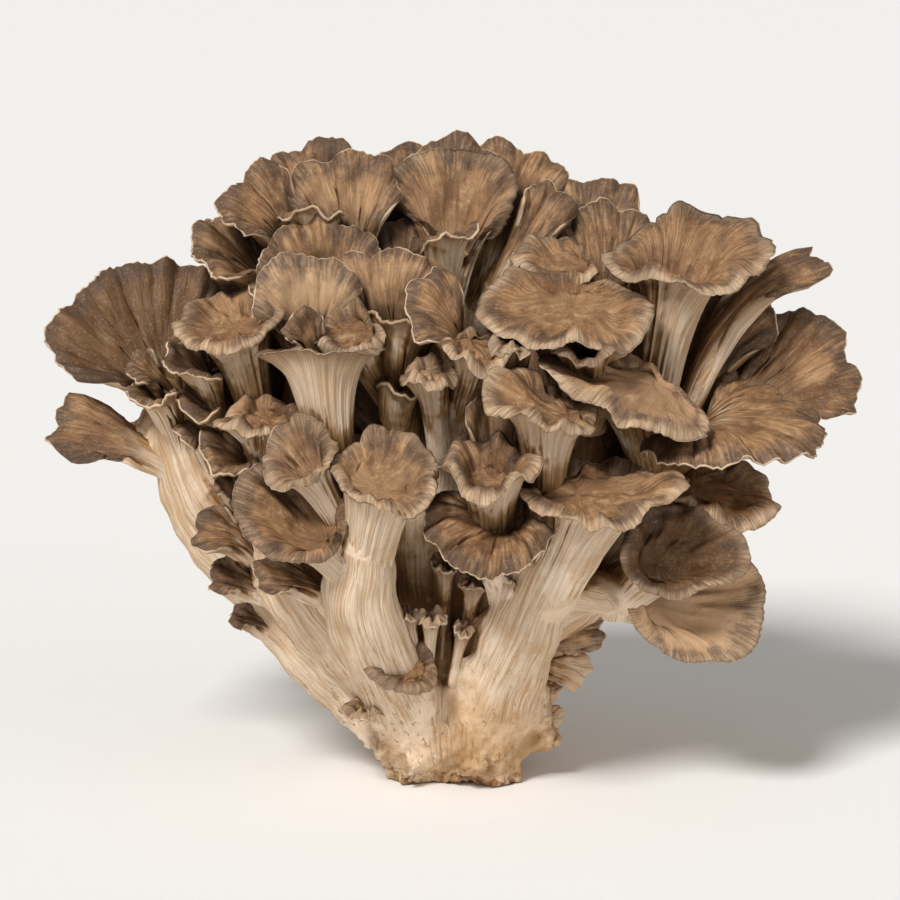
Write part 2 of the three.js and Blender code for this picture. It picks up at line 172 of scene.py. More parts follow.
# Fibres that run from stalk to margin: streaks stretched along the growth.
streak_group, (along_fibres, width, length, contrast), result = new_group(
    "fibre_streaks",
    {"Fibres": "Vector", "Width": "Float", "Length": "Float", "Contrast": "Float"},
    {"Streak": "Float"},
)
divide = {"operation": "DIVIDE"}
per_width = add_node(streak_group, "ShaderNodeMath", 0, divide, i0=1.0, i1=width)
per_length = add_node(streak_group, "ShaderNodeMath", 0, divide, i0=1.0, i1=length)
stretch = add_node(streak_group, "ShaderNodeCombineXYZ", 0, X=per_width, Y=per_length, Z=per_width)
stretched = add_node(
    streak_group, "ShaderNodeVectorMath", 0, {"operation": "MULTIPLY"}, i0=along_fibres, i1=stretch
)
streak = ((noise(stretched, 1.0, 5.0, 0.62, 0.25) - 0.5) * contrast).maths("ADD", 0.5, clamp=True)
plug(streak, result["Streak"], streak_group)


def fibre_streaks(fibres, width, length, contrast):
    sizes = {"Width": width, "Length": length, "Contrast": contrast}
    return use_group(streak_group, fibres.tree, Fibres=fibres, **sizes)[0]


# Flesh: cream with fine lengthwise lines, browner in the furrows, painted deep brown as shade far
# inside the cluster, with a crust of soil at the cut.
flesh_look, (fibres, position, crevice, plain, grown), result = new_group(
    "flesh_look",
    {"Fibres": "Vector", "Position": "Vector", "Crevice": "Float", "Plain": "Float", "Grown": "Float"},
    {"Color": "Color", "Height": "Float"},
)
blotches = noise(position, 60.0, 6.0, 0.65)
pores = noise(position, 520.0, 4.0, 0.6)
crumbs = noise(position, 300.0, 6.0, 0.7)
drift = noise(position, 24.0, 3.0, 0.5)
half_plain = plain.ramp(0.1, 0.95)
mealy = value_mix(plain, fibre_streaks(fibres, 0.10, 1.3, 2.6), pores.ramp(0.25, 0.6, 0.45, 0.95))
ridges = value_mix(half_plain, fibre_streaks(fibres, 0.07, 1.8, 3.2), mealy)
hairs = value_mix(half_plain, fibre_streaks(fibres, 0.03, 1.4, 4.5), plain.ramp(0.0, 1.0, 0.5, 0.72))
broad = value_mix(half_plain, fibre_streaks(fibres, 0.5, 2.4, 2.6), blotches.ramp(0.35, 0.7, 0.9, 0.2))
flesh = colour_mix(ridges.ramp(0.0, 0.62), (0.60, 0.405, 0.24, 1), (0.87, 0.715, 0.555, 1))
flesh = colour_mix(hairs.ramp(0.42, 0.05, 0.0, 0.45), flesh, (0.38, 0.215, 0.10, 1))
flesh = colour_mix(grown.ramp(0.3, 0.95, 0.0, 0.42), flesh, (0.50, 0.305, 0.145, 1))
flesh = colour_mix(broad.ramp(0.1, 0.5, 0.42, 0.0), flesh, (0.52, 0.31, 0.14, 1))
flesh = colour_mix(blotches.ramp(0.46, 0.70, 0.0, 0.68), flesh, (0.56, 0.35, 0.18, 1))
on_trunk = grown.ramp(0.0, 0.3, 1.0, 0.0)
flesh = colour_mix(on_trunk, flesh, (0.97, 0.95, 0.92, 1), "MULTIPLY")
flesh = colour_mix(on_trunk * drift.ramp(0.45, 0.68, 0.0, 0.8), flesh, (0.80, 0.66, 0.49, 1), "MULTIPLY")
# Painted shade: where the flesh is closed in among the fronds it is painted brown, then deep brown; less so
# on the trunk.
shade = crevice.ramp(0.37, 0.92) * on_trunk.ramp(0.0, 1.0, 1.0, 0.68)
gap_shade = shade * broad.ramp(0.0, 1.0, 1.25, 0.85)
half_shade_brown = colour_mix(ridges, (0.22, 0.105, 0.036, 1), (0.56, 0.34, 0.16, 1))
deep_shade_brown = colour_mix(ridges, (0.055, 0.022, 0.007, 1), (0.22, 0.105, 0.038, 1))
flesh = colour_mix(gap_shade.ramp(0.0, 0.45), flesh, half_shade_brown)
flesh = colour_mix(gap_shade.ramp(0.40, 1.0), flesh, deep_shade_brown)
level = position.split()[2]
stain = blotches * 0.6 + crumbs * 0.4 + level.ramp(0.0, 0.024, 0.11, -0.06)
flesh = colour_mix(stain.ramp(0.53, 0.62, 0.0, 0.55), flesh, (0.46, 0.275, 0.13, 1))
pits = fibre_streaks(fibres, 0.11, 0.32, 4.0).ramp(0.16, 0.0) * level.ramp(0.004, 0.048, 1.0, 0.12)
flesh = colour_mix(pits * on_trunk * 0.75, flesh, (0.27, 0.135, 0.05, 1))
soil_brown = colour_mix(pores.ramp(0.4, 0.6), (0.34, 0.17, 0.058, 1), (0.12, 0.052, 0.016, 1))
soil = crumbs + level.ramp(0.0, 0.009, 0.20, -0.04)
plug(colour_mix(soil.ramp(0.66, 0.76), flesh, soil_brown), result["Color"], flesh_look)
plug(ridges * 0.8 + broad * 0.8 + hairs * 0.35 + crumbs * 0.5, result["Height"], flesh_look)

# Cap skin: golden brown with paler and darker fibres, a patchy grey-brown band inside the
# margin, a tan skirt where the margin bends down, and a thin broken pale line at the very edge.
# Deep among the fronds, painted shade turns it near black.
cap_look, (fibres, growth, position, crevice, skirt), result = new_group(
    "cap_look",
    {"Fibres": "Vector", "Growth": "Vector", "Position": "Vector", "Crevice": "Float", "Skirt": "Float"},
    {"Color": "Color", "Height": "Float"},
)
from_edge, grown, tone_and_shade = growth.split()
mottle = noise(position, 95.0, 6.0, 0.66)
grain = noise(position, 1500.0, 2.0, 0.6)
felted = noise(position, 420.0, 4.0, 0.7).ramp(0.3, 0.7)
fine = value_mix(grown.ramp(1.4, 1.9, 0.12, 1.0), fibre_streaks(fibres, 0.05, 0.5, 3.4), felted)
patches = mottle.ramp(0.25, 0.75)
coarse = value_mix(grown.ramp(1.4, 1.9, 0.1, 0.7), fibre_streaks(fibres, 0.45, 0.9, 2.8), patches)
skin = colour_mix(coarse, (0.172, 0.082, 0.031, 1), (0.40, 0.214, 0.098, 1))
skin = colour_mix(fine.ramp(0.35, 1.0, 0.0, 0.55), skin, (0.62, 0.405, 0.22, 1))
skin = colour_mix(fine.ramp(0.4, 0.0, 0.0, 0.45), skin, (0.15, 0.070, 0.027, 1))
skin = colour_mix(mottle.ramp(0.46, 0.66, 0.0, 0.85), skin, (0.15, 0.072, 0.030, 1))
skin = colour_mix(mottle.ramp(0.46, 0.26, 0.0, 0.45), skin, (0.56, 0.345, 0.17, 1))
# The tone is partly each frond's own lightness of brown and partly painted light and shade: fronds deep in
# the cluster get dark tones, and some fronds lying in shade get pale tones that paint light back onto them.
skin = colour_mix(tone_and_shade.ramp(0.5, 1.0), skin, (0.70, 0.465, 0.275, 1))
skin = colour_mix(tone_and_shade.ramp(0.5, 0.0, 0.0, 0.85), skin, (0.085, 0.036, 0.011, 1))
ragged = from_edge + (coarse - 0.5) * 0.55 + (mottle - 0.5) * -1.6
band = ragged.ramp(0.62, 0.08, 0.0, 0.95) * fine.ramp(0.0, 1.0, 1.0, 0.5)
skin = colour_mix(band, skin, (0.092, 0.056, 0.037, 1))
skirt_tan = colour_mix(fine, (0.34, 0.195, 0.095, 1), (0.76, 0.57, 0.385, 1))
skin = colour_mix(skirt * coarse.ramp(0.0, 1.0, 0.55, 1.0), skin, skirt_tan)
edge_line = from_edge + (mottle - 0.5) * 0.10
skin = colour_mix(edge_line.ramp(0.030, 0.008, 0.0, 0.85), skin, (0.77, 0.60, 0.42, 1))
skin = colour_mix(grain.ramp(0.52, 0.8, 0.0, 0.3), skin, (0.62, 0.45, 0.30, 1))
# Painted shade: the skin goes near black where it is closed in among the fronds, less on fronds of a high
# tone.
closed_in_shade = crevice.ramp(0.36, 0.92, 0.0, 0.88) * tone_and_shade.ramp(0.6, 1.0, 1.0, 0.4)
plug(colour_mix(closed_in_shade, skin, (0.040, 0.015, 0.004, 1)), result["Color"], cap_look)
plug(fine * 0.6 + coarse * 0.9 + grain * 0.3, result["Height"], cap_look)


def mushroom_material(name, roughness, brown, rimmed=True):
    made = bpy.data.materials.new(name)
    made.use_nodes = True
    tree = made.node_tree
    shader = tree.nodes["Principled BSDF"].inputs
    shader["Roughness"].default_value = roughness
    shader["Specular IOR Level"].default_value = 0.32
    shader["Subsurface Weight"].default_value = 0.12
    shader["Subsurface Radius"].default_value = (1.0, 0.55, 0.3)
    shader["Subsurface Scale"].default_value = 0.0012
    outputs = {"fibres": "Vector", "growth": "Vector", "crevice": "Fac", "skirt": "Fac", "plain": "Fac"}
    read = {}
    for label, output in outputs.items():
        read[label] = add_node(tree, "ShaderNodeAttribute", output, {"attribute_name": label})
    from_edge, grown, _ = read["growth"].split()
    shared = {"Position": add_node(tree, "ShaderNodeTexCoord", "Object")}
    shared.update(Fibres=read["fibres"], Crevice=read["crevice"])
    colour, height = use_group(flesh_look, tree, Plain=read["plain"], Grown=grown, **shared)
    on_blade = grown.ramp(0.5, 0.85, 0.12, 0.8 if rimmed else 0.12)
    colour = colour_mix(from_edge.ramp(0.55, 0.05) * on_blade, colour, (0.29, 0.165, 0.082, 1))
    broken = noise(shared["Position"], 260.0, 3.0, 0.6).ramp(0.35, 0.65, 0.05, 0.75)
    colour = colour_mix(from_edge.ramp(0.02, 0.0) * broken, colour, (0.70, 0.53, 0.36, 1))
    if brown:
        skin, height = use_group(cap_look, tree, Growth=read["growth"], Skirt=read["skirt"], **shared)
        colour = colour_mix((grown + height * 0.12).ramp(0.36, 0.62), colour, skin)
    plug(colour, shader["Base Color"], tree)
    bump = add_node(tree, "ShaderNodeBump", 0, Height=height, Strength=0.6, Distance=0.0004)
    plug(bump, shader["Normal"], tree)
    return made


cap_skin = mushroom_material("brown_cap_skin", 0.56, True)
pale_flesh = mushroom_material("pale_flesh", 0.66, False)
trunk_flesh = mushroom_material("trunk_flesh", 0.7, False, rimmed=False)

all_pieces = []
stalk_tubes = []


def eased(value, low, high):
    x = np.clip((value - low) / (high - low), 0, 1)
    return x * x * (3 - 2 * x)


def bezier(t, first, second, third, last):
    t = t[:, None]
    return first * (1 - t) ** 3 + second * 3 * t * (1 - t) ** 2 + third * 3 * t ** 2 * (1 - t) + last * t ** 3


def unit(vector):
    return vector / np.linalg.norm(vector)


def round_from(angle, forward, aside):
    return forward * np.cos(angle)[:, None] + aside * np.sin(angle)[:, None]


def put_vector(mesh, name, columns):
    layer = mesh.attributes.new(name, "FLOAT_VECTOR", "POINT")
    layer.data.foreach_set("vector", np.column_stack(columns).astype(np.float32).ravel())


def put_value(mesh, name, values):
    layer = mesh.attributes.new(name, "FLOAT", "POINT")
    layer.data.foreach_set("value", values.astype(np.float32))


def read_points(mesh, what="co"):
    found = np.empty(len(mesh.vertices) * 3, np.float32)
    mesh.vertices.foreach_get(what, found)
    return found.reshape(-1, 3).astype(float)


def place_points(mesh, points_mm):
    mesh.vertices.foreach_set("co", (points_mm / 1000).astype(np.float32).ravel())


def start_grid(name, columns, rows):
    bpy.ops.object.select_all(action="DESELECT")
    bpy.ops.mesh.primitive_grid_add(x_subdivisions=columns, y_subdivisions=rows, size=2)
    started = bpy.context.object
    started.name = name
    return started, started.data, read_points(started.data)


def close_seam(threshold):
    bpy.ops.object.mode_set(mode="EDIT")
    bpy.ops.mesh.select_all(action="SELECT")
    bpy.ops.mesh.remove_doubles(threshold=threshold)
    bpy.ops.mesh.normals_make_consistent(inside=False)
    bpy.ops.object.mode_set(mode="OBJECT")


def finish_piece(piece, slot, *nodes):
    bpy.ops.object.shade_smooth()
    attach(piece, "root")
    if nodes:
        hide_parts(*nodes)
    all_pieces.append(piece)


def uneven(values, seed, step, terms=5):
    """A smooth uneven line between about -1 and 1, with bumps about one step long and shorter."""
    chance = np.random.RandomState(seed)
    total = np.zeros_like(values)
    for k in range(terms):
        size = 1.55 ** k
        turns = values / step * 6.283 * size * chance.uniform(0.8, 1.2)
        total += np.sin(turns + chance.uniform(0, 6.283)) / size ** 0.9
    return total / 1.9


def scallops(along, cusps, depth):
    """How far the margin is cut in: most at each cusp, and not at all half way between two."""
    place = np.clip(np.searchsorted(cusps, along), 1, len(cusps) - 1)
    part = (along - cusps[place - 1]) / (cusps[place] - cusps[place - 1])
    cut = depth[place - 1] + (depth[place] - depth[place - 1]) * part
    return cut * (1 - np.sqrt(np.clip(4 * part * (1 - part), 0, 1))) ** 1.3


def fan(t, u, shape, detail=1.0):
    root, neck, tip, up, spread, stem, curl, fold, ruffle, notch, rounded = shape
    root, neck, tip, up = (np.array(v, float) for v in (root, neck, tip, up))
    up = unit(up)
    reach = tip - neck
    height = reach @ up
    flat = reach - height * up
    radius = np.linalg.norm(flat)
    forward = flat / radius
    aside = np.cross(up, forward)
    angle = u * math.radians(spread)
    arc = angle * radius
    phase = 0.7 * tip[0] + 1.3 * tip[2]
    seed = int(abs(tip[0] * 37 + tip[1] * 11 + tip[2] * 53)) % 9973
    lobes = 1 - 0.12 * np.abs(u) ** 2.5
    lobes = lobes + 0.045 * np.sin(6.9 * u + phase) + 0.03 * np.sin(12.9 * u + 2 * phase)
    gap = np.zeros_like(u)
    if detail:
        lobes = lobes - rounded * np.abs(u) ** 4 + 0.02 * uneven(arc, seed, 14.0, 2)
        chance = np.random.RandomState(seed)
        cusps = np.cumsum(chance.uniform(4.0, 12.0, 60)) - abs(arc).max() - 6.0
        gap = scallops(arc, cusps, chance.uniform(0.25, 1.0, 60) ** 1.5)
        lobes = lobes - notch * gap + 0.28 / radius * uneven(arc, seed + 1, 2.6, 3)
    rib = round_from(angle, forward, aside)
    rise = (height + fold * radius * u * u)[:, None]
    wide = (radius * lobes)[:, None]
    first = root + aside * (0.9 * stem * u)[:, None]
    second = neck + aside * (1.1 * stem * u)[:, None]
    early = round_from(angle * (1 + 0.24 * detail), forward, aside)
    third = neck + up * (0.75 * rise + curl * radius) + early * 0.52 * wide
    points = bezier(t, first, second, third, neck + up * rise + rib * wide)
    if detail:
        outer = eased(t, 0.35, 1.0) ** 1.4
        margin = eased(t, 0.82, 1.0)
        wave = ruffle * (1.45 * uneven(arc, seed + 2, 14.0, 3) + 0.5 * uneven(arc + 6 * t, seed + 3, 6.0, 2))
        bent = 0.06 * radius * (np.sin(1.5 * angle + phase) + 0.7 * np.sin(2.6 * angle + 2 * phase))
        furrow = 0.20 * uneven(arc, seed + 4, 4.0, 3) * eased(t, 0.3, 0.75) * (1 - eased(t, 0.95, 1))
        swell = 0.45 * uneven(22 * t + 0.5 * arc, seed + 5, 11.0, 3)
        swell = swell * eased(t, 0.35, 0.6) * (1 - eased(t, 0.9, 1))
        droop = -(1.3 + 0.8 * uneven(arc, seed + 6, 12.0, 2)) * eased(t, 0.84, 1.0) ** 1.6
        droop = droop - 0.7 * gap * eased(t, 0.8, 1.0)
        crinkle = 0.30 * uneven(arc + 2 * t, seed + 7, 2.6, 3) * margin
        points = points + up * ((wave + bent) * outer + furrow + swell + droop + crinkle)[:, None]
    return points, arc, radius * lobes


stalk_steps = (0.0, 0.12, 0.24, 0.34, 0.42)


def grow_frond(
    name, root, neck, tip, up, spread, stem,
    curl=0.0, fold=0.0, tone_and_shade=0.5, ruffle=1.0, notch=0.06, rounded=0.14,
):
    in_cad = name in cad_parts
    shape = (root, neck, tip, up, spread, stem, curl, fold, ruffle, notch, rounded)
    margin = 2 * math.radians(spread) * math.dist(neck, tip)
    across = int(min(96, max(26, margin / (0.95 if in_cad else 1.35))))
    along = int(min(34, max(20, math.dist(neck, tip) * 0.8 + 12))) - (0 if in_cad else 3)
    frond, mesh, start = start_grid(name, across, along)
    u = -start[:, 0]
    t = 1 - (1 - (start[:, 1] + 1) / 2) ** 1.35
    points, arc, radius = fan(t, u, shape)
    place_points(mesh, points)
    stalk = 5.0 * np.sqrt(np.clip(1 - u * u, 0, 1)) + 0.5
    blade = 2.4 + (1.0 - 2.4) * eased(t, 0.55, 1.0)
    thick = stalk + (blade - stalk) * eased(t, 0.3, 0.7)
    rim = np.sqrt(np.clip(1 - (np.clip(t - 0.955, 0, 1) / 0.045) ** 2, 0, 1))
    flank = np.sqrt(np.clip(1 - (np.clip(np.abs(u) - 0.94, 0, 1) / 0.06) ** 2, 0, 1))
    thick = np.maximum(thick * (0.28 + 0.72 * rim) * (0.28 + 0.72 * flank), 0.28)
    weights = frond.vertex_groups.new(name="thickness")
    for index, value in enumerate(thick):
        weights.add([index], float(value) / 6.0, "REPLACE")
    out_to_side = (1 - np.abs(u)) * math.radians(spread) * radius * np.clip((t - 0.25) / 0.6, 0, 1)
    from_edge = np.minimum((1 - t) * radius * 1.25, out_to_side + 6 * (1 - eased(t, 0.35, 0.6)))
    fibres_apart = np.full(len(t), 0.013 * (tip[0] * 3 + tip[2]))
    put_vector(mesh, "fibres", (arc / 16, t * (radius * 1.3) / 10, fibres_apart))
    put_vector(mesh, "growth", (from_edge / 10, t, np.full(len(t), tone_and_shade)))
    put_value(mesh, "plain", 0.85 - 0.85 * eased(t, 0.08, 0.34))
    shell = frond.modifiers.new("shell", "SOLIDIFY")
    shell.thickness = 0.006
    shell.offset = 0
    shell.vertex_group = "thickness"
    shell.material_offset = 1
    shell.material_offset_rim = 1
    mesh.materials.append(cap_skin)
    mesh.materials.append(pale_flesh)
    bpy.ops.object.modifier_apply(modifier="shell")
    frond.vertex_groups.clear()
    finish_piece(frond, "frond_skin", *([name] if in_cad else []))
    # The stalk's rings go into the skin of the stipe, which closes round them.
    rings = []
    for step in stalk_steps:
        places, _, _ = fan(np.full(3, step), np.array((-1.0, 0.0, 1.0)), shape, 0.0)
        ahead, _, _ = fan(np.full(1, step + 0.02), np.zeros(1), shape, 0.0)
        side = (places[2] - places[0]) / 2
        flat_way = unit(np.cross(ahead[0] - places[1], side))
        grow = 0.6 - 2.2 * step
        rings.append((places[1], side * (1 + grow / np.linalg.norm(side)), flat_way * (2.5 + grow)))
    stalk_tubes.append(rings)
    return frond


grow_frond(
    "crown_left_front", (-25, 2, 108), (-22, -3, 137), (-25, 3, 157), (0.05, -0.9, 0.4),
    64, 4, tone_and_shade=0.6,
)
grow_frond(
    "crown_left_outer", (-30, 2, 110), (-36, 2, 135), (-53, -2, 149), (-0.1, -0.7, 0.65),
    64, 4, fold=0.05,
)
grow_frond("crown_left_back", (-27, 6, 108), (-29, 12, 140), (-35, 16, 158), (-0.2, -0.85, 0.5), 62, 4)
grow_frond("crown_middle_back", (-1, 8, 104), (-5, 14, 138), (-4, 22, 156.5), (0, -0.9, 0.45), 66, 4)
grow_frond("crown_right_rear", (4, 8, 104), (15, 12, 136), (21, 20, 157), (0.1, -0.9, 0.45), 52, 4)
grow_frond("crown_right_back", (37, 7, 92), (38, 30, 124), (40, 36, 146), (0, -0.9, 0.45), 52, 4, tone_and_shade=0.6)
grow_frond("tall_scoop", (36, 4, 98), (42, 6, 122), (42, 16, 142), (0, -0.92, 0.4), 40, 4.5, fold=0.15)
grow_frond(
    "crown_right_ruffle", (6, 8, 106), (22, 6, 134), (30, 8, 147.5), (0.1, -0.9, 0.4),
    40, 3.5, ruffle=1.4,
)
grow_frond("crown_small_shelf", (-1, -4, 108), (1, -10, 131), (5, -19, 141), (-0.3, 0.15, 0.95), 60, 3)
grow_frond("crown_middle_rear", (2, 8, 108), (3, 12, 140), (3.5, 16, 159), (0, -0.9, 0.45), 58, 4, tone_and_shade=0.4)
grow_frond("hollow_cap", (-8, 4, 112), (-10, 2, 127), (-12, 5, 139), (0, -0.9, 0.4), 60, 3, tone_and_shade=0.3)

# ---------------------------------------------------------------------------------------------
# Trumpets and dishes: a cream lined stalk that opens all round into a thin brown cap, either deep
# like a funnel or nearly flat, with a scalloped margin that hangs down in front. Each is one
# closed wall, from the foot of the stalk over the margin to the floor of the cap.


def grow_dish(
    name, root, neck, rim, up, across, deep, stem,
    floor=9.0, droop=1.0, flare=0.42, tone_and_shade=0.5, ruffle=0.8, notch=0.08,
):
    root, neck, rim, up = (np.array(v, float) for v in (root, neck, rim, up))
    up = unit(up)
    forward = np.array((0.0, -1.0 if rim[1] < 12 else 1.0, 0.0))
    forward = unit(forward - up * (forward @ up))
    aside = np.cross(up, forward)
    size = (across + deep) / 2
    around, rows = int(min(130, max(48, 7.5 * size))), int(min(60, 28 + 1.8 * size))
    dish, mesh, start = start_grid(name, around, rows)
    angle = start[:, 0] * math.pi
    # Going up the rows, the wall runs from the foot out to the margin and back in to the floor.
    s = (start[:, 1] + 1) / 2
    outside = s < 0.6
    t = np.clip(np.where(outside, s / 0.6, 1 - (s - 0.6) / 0.4 * 0.62), 0, 1)
    inner = np.where(outside, 0.0, eased(s, 0.6, 0.635))
    chance = np.random.RandomState(int(abs(rim[0] * 37 + rim[1] * 11 + rim[2] * 53)) % 9973)
    widths = chance.uniform(0.6, 1.7, max(7, int(size * 0.85)))
    cusps = np.concatenate(((0,), np.cumsum(widths))) / widths.sum() * 2 * math.pi - math.pi
    depth = chance.uniform(0.15, 1.0, len(cusps))
    depth[-1] = depth[0]
    gap = scallops(angle, cusps, depth)
    turn = chance.uniform(0, 6.283, 12)

    def waves(*terms):
        """A sum of sines round the dish: how high, how many and, of the turns, which."""
        return sum(high * np.sin(many * angle + turn[which]) for high, many, which in terms)

    lobes = 1 + waves((0.055, 2, 0), (0.055, 3, 1), (0.03, 5, 2))
    lobes = lobes - notch * gap
    lobes = lobes + 0.30 / size * uneven(angle * size, int(turn[0] * 900), 2.6, 3) * np.cos(angle / 2)
    oval = 1 / np.sqrt((np.cos(angle) / deep) ** 2 + (np.sin(angle) / across) ** 2)
    radius = oval * lobes
    away = round_from(angle, forward, aside)
    lined = 1 + 0.035 * np.sin(19 * angle + 1.5 * np.sin(3 * angle))
    lined = lined + 0.02 * np.sin(31 * angle + np.sin(4 * angle))
    lined = 1 + (lined - 1) * (1 - eased(t, 0.6, 0.95)) * outside
    belly = neck + (rim - neck) * 0.78
    flared = belly + away * (radius * flare)[:, None]
    margin = rim + away * radius[:, None]
    points = bezier(t, root + away * stem * 0.9, neck + away * stem * 1.1, flared, margin)
    centre = bezier(t, root, neck, belly, rim)
    points = centre + (points - centre) * lined[:, None]
    points = points + up * (1.5 * inner * (1 - 0.5 * eased(t, 0.8, 1.0)))[:, None]
    points = points - away * (1.2 * inner * (1 - eased(t, 0.75, 1.0)))[:, None]
    points = points + (centre + up * 1.5 - points) * eased(s, 0.93, 1.0)[:, None]
    # The cap's floor: flesh fills the inside up to a shallow bowl.
    inside = points - rim
    height = inside @ up
    out = np.linalg.norm(inside - height[:, None] * up, axis=1) / oval
    bowl = -floor * np.clip(1 - out ** 2, 0, 1) - 0.4
    filled_to = 0.5 * (height + bowl + np.sqrt((height - bowl) ** 2 + 0.8 * (1 - np.clip(out, 0, 1))))
    points = points + up * ((filled_to - height) * inner)[:, None]
    wave = waves((0.9, 2, 3), (1.0, 3, 4), (0.8, 5, 5), (0.5, 8, 6), (0.35, 13, 7))
    wave = ruffle * wave * eased(t, 0.45, 1.0) ** 1.3
    bump = 0.7 * np.sin(4 * angle + 9 * t + turn[8]) + 0.5 * np.sin(7 * angle - 6 * t + turn[9])
    bump = (bump + 0.2 * np.sin(16 * angle + turn[0])) * eased(t, 0.4, 0.6) * (1 - eased(t, 0.9, 1.0))
    in_front = 0.6 + 0.4 * np.cos(angle)
    crinkle = 0.32 * uneven(angle * size + 2 * t, int(turn[1] * 900), 2.8, 3)
    crinkle = crinkle * np.cos(angle / 2) * eased(t, 0.84, 1.0)
    bend = eased(t, 0.76, 1.0) ** 1.7
    hang = droop * in_front * (1 + waves((0.35, 4, 10), (0.25, 7, 11)))
    points = points + up * (wave + bump + crinkle - hang * bend - 0.8 * gap * bend)[:, None]
    points = points - away * (0.28 * hang * bend ** 2)[:, None]
    points[s < 0.001] = root
    place_points(mesh, points)
    fibre_rings = np.sin(angle) * size / 10, t * size * 0.17 + 0.31 * rim[2], np.cos(angle) * size / 10
    put_vector(mesh, "fibres", fibre_rings)
    from_edge = (1 - t) * size * 0.17
    grown = np.where(outside, t, 2.0 - np.clip(out, 0, 1))
    put_vector(mesh, "growth", (from_edge, grown, np.full(len(t), tone_and_shade)))
    put_value(mesh, "plain", (0.85 - 0.85 * eased(t, 0.1, 0.4)) * outside)
    hanging = np.clip(droop / 2.2, 0, 1) * (1 - outside) * np.clip(in_front * 1.3, 0, 1)
    put_value(mesh, "skirt", hanging * eased(from_edge, 0.34, 0.12))
    mesh.materials.append(cap_skin)
    mesh.materials.append(pale_flesh)
    outer_face = np.array([outside[list(face.vertices)].all() for face in mesh.polygons])
    mesh.polygons.foreach_set("material_index", outer_face.astype(np.int32))
    close_seam(0.00002)
    finish_piece(dish, "frond_skin", *([name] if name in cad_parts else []))
    rings = []
    for step, place in zip(stalk_steps, bezier(np.array(stalk_steps), root, neck, belly, rim)):
        wide = stem * (0.9 * (1 - step) ** 3 + 1.1 * 3 * step * (1 - step) ** 2) + 0.5 - 2.4 * step
        opened = flare * 3 * step ** 2 * (1 - step) + step ** 3
        rings.append((place, aside * (wide + across * opened), forward * (wide + deep * opened)))
    stalk_tubes.append(rings)


grow_dish(
    "crown_middle", (0, 4, 110), (3, 0, 130), (3.8, 5, 146), (0, -0.9, 0.42),
    16.2, 12.6, 4.5, floor=3.5, flare=0.5, tone_and_shade=0.58, ruffle=0.9, notch=0.05,
)
grow_dish(
    "centre_trumpet", (-20, -33, 58), (-28, -34, 93), (-28, -34, 114), (-0.03, 0.16, 0.98),
    15.5, 12.5, 5, floor=7, droop=0.6, flare=0.25, ruffle=0.35, notch=0.05,
)
grow_dish(
    "right_funnel", (50, -11, 64), (52, -10, 112), (61.5, -10, 135.5), (-0.04, -0.27, 0.96),
    22.5, 19.5, 5.2, floor=12, droop=3.8, flare=0.26, tone_and_shade=0.42, ruffle=1.3,
)
grow_dish(
    "front_round_cap", (-18.5, -38, 58), (-16, -44, 74), (-12.5, -50, 88.5), (0.04, -0.6, 0.8),
    14.2, 12.5, 6.6, floor=3.5, droop=2.6, flare=0.5, tone_and_shade=0.6, ruffle=0.9,
)
grow_dish(
    "wavy_ring", (17, -26, 44), (11.5, -44, 74), (12, -50, 90), (0, -0.28, 0.96),
    13, 12, 4.2, floor=7, droop=2.6, flare=0.36, ruffle=1.7,
)
grow_dish(
    "right_upper_shelf", (34, -2, 88), (31, -20, 112.5), (30.5, -30, 123.5), (0.05, -0.42, 0.9),
    21, 16.5, 5, floor=3, droop=3.2, flare=0.5, ruffle=1.3,
)
grow_dish(
    "wavy_shelf", (25, -31, 54), (25, -40, 89.5), (25, -46, 104), (0.34, -0.3, 0.9),
    14.5, 12, 4.4, floor=2.5, droop=2.8, flare=0.4, ruffle=1.3,
)
grow_dish(
    "draped_shelf", (52, -10, 76), (47, -26, 96), (45, -37, 105.5), (0.33, -0.33, 0.88),
    22.5, 13.5, 5, floor=1.5, droop=3.0, flare=0.5, tone_and_shade=0.68, ruffle=1.0,
)
grow_dish(
    "front_right_shelf", (26, -33, 52), (34, -40, 70.5), (38.5, -49, 82.3), (-0.04, -0.24, 0.97),
    22.5, 12.5, 8, floor=3, droop=2.8, flare=0.5, tone_and_shade=0.56, ruffle=1.2,
)
grow_dish(
    "wavy_cap", (1, -8, 80), (7, -29, 104.5), (9.7, -36, 115.3), (0.06, -0.28, 0.95),
    10.5, 9.2, 3.5, floor=2, droop=2.2, flare=0.4, ruffle=1.1,
)
grow_dish(
    "ruffled_cap", (-5, -7, 84), (-18, -24, 108), (-22, -32, 118), (-0.1, -0.45, 0.88),
    9.5, 9.5, 3.2, floor=2.5, droop=2.2, flare=0.45, ruffle=1.0,
)
grow_dish(
    "left_wide_cap", (-43, -15, 82), (-47, -17, 108.5), (-51.5, -22, 119.8), (-0.16, -0.42, 0.89),
    14, 12.5, 4, floor=2.5, droop=2.4, flare=0.5, ruffle=1.0,
)
grow_dish(
    "left_shelf", (-42, -20, 70), (-42.5, -27, 89), (-42.5, -33, 97.3), (0, -0.3, 0.95),
    12, 9.5, 3.5, floor=2, droop=2.2, flare=0.5, ruffle=0.9,
)
grow_dish(
    "upper_right_flap", (38, 0, 100), (34, -5, 122), (28.5, -10, 132), (0.12, -0.26, 0.95),
    12, 12, 4, floor=2, droop=2.8, ruffle=1.2,
)
grow_dish(
    "edge_cap_right", (20, -20, 94), (18, -31, 107), (18, -36, 116), (0, -0.16, 0.98),
    6.5, 6.5, 2.2, floor=1.2, droop=1.8, flare=0.4, ruffle=0.6,
)
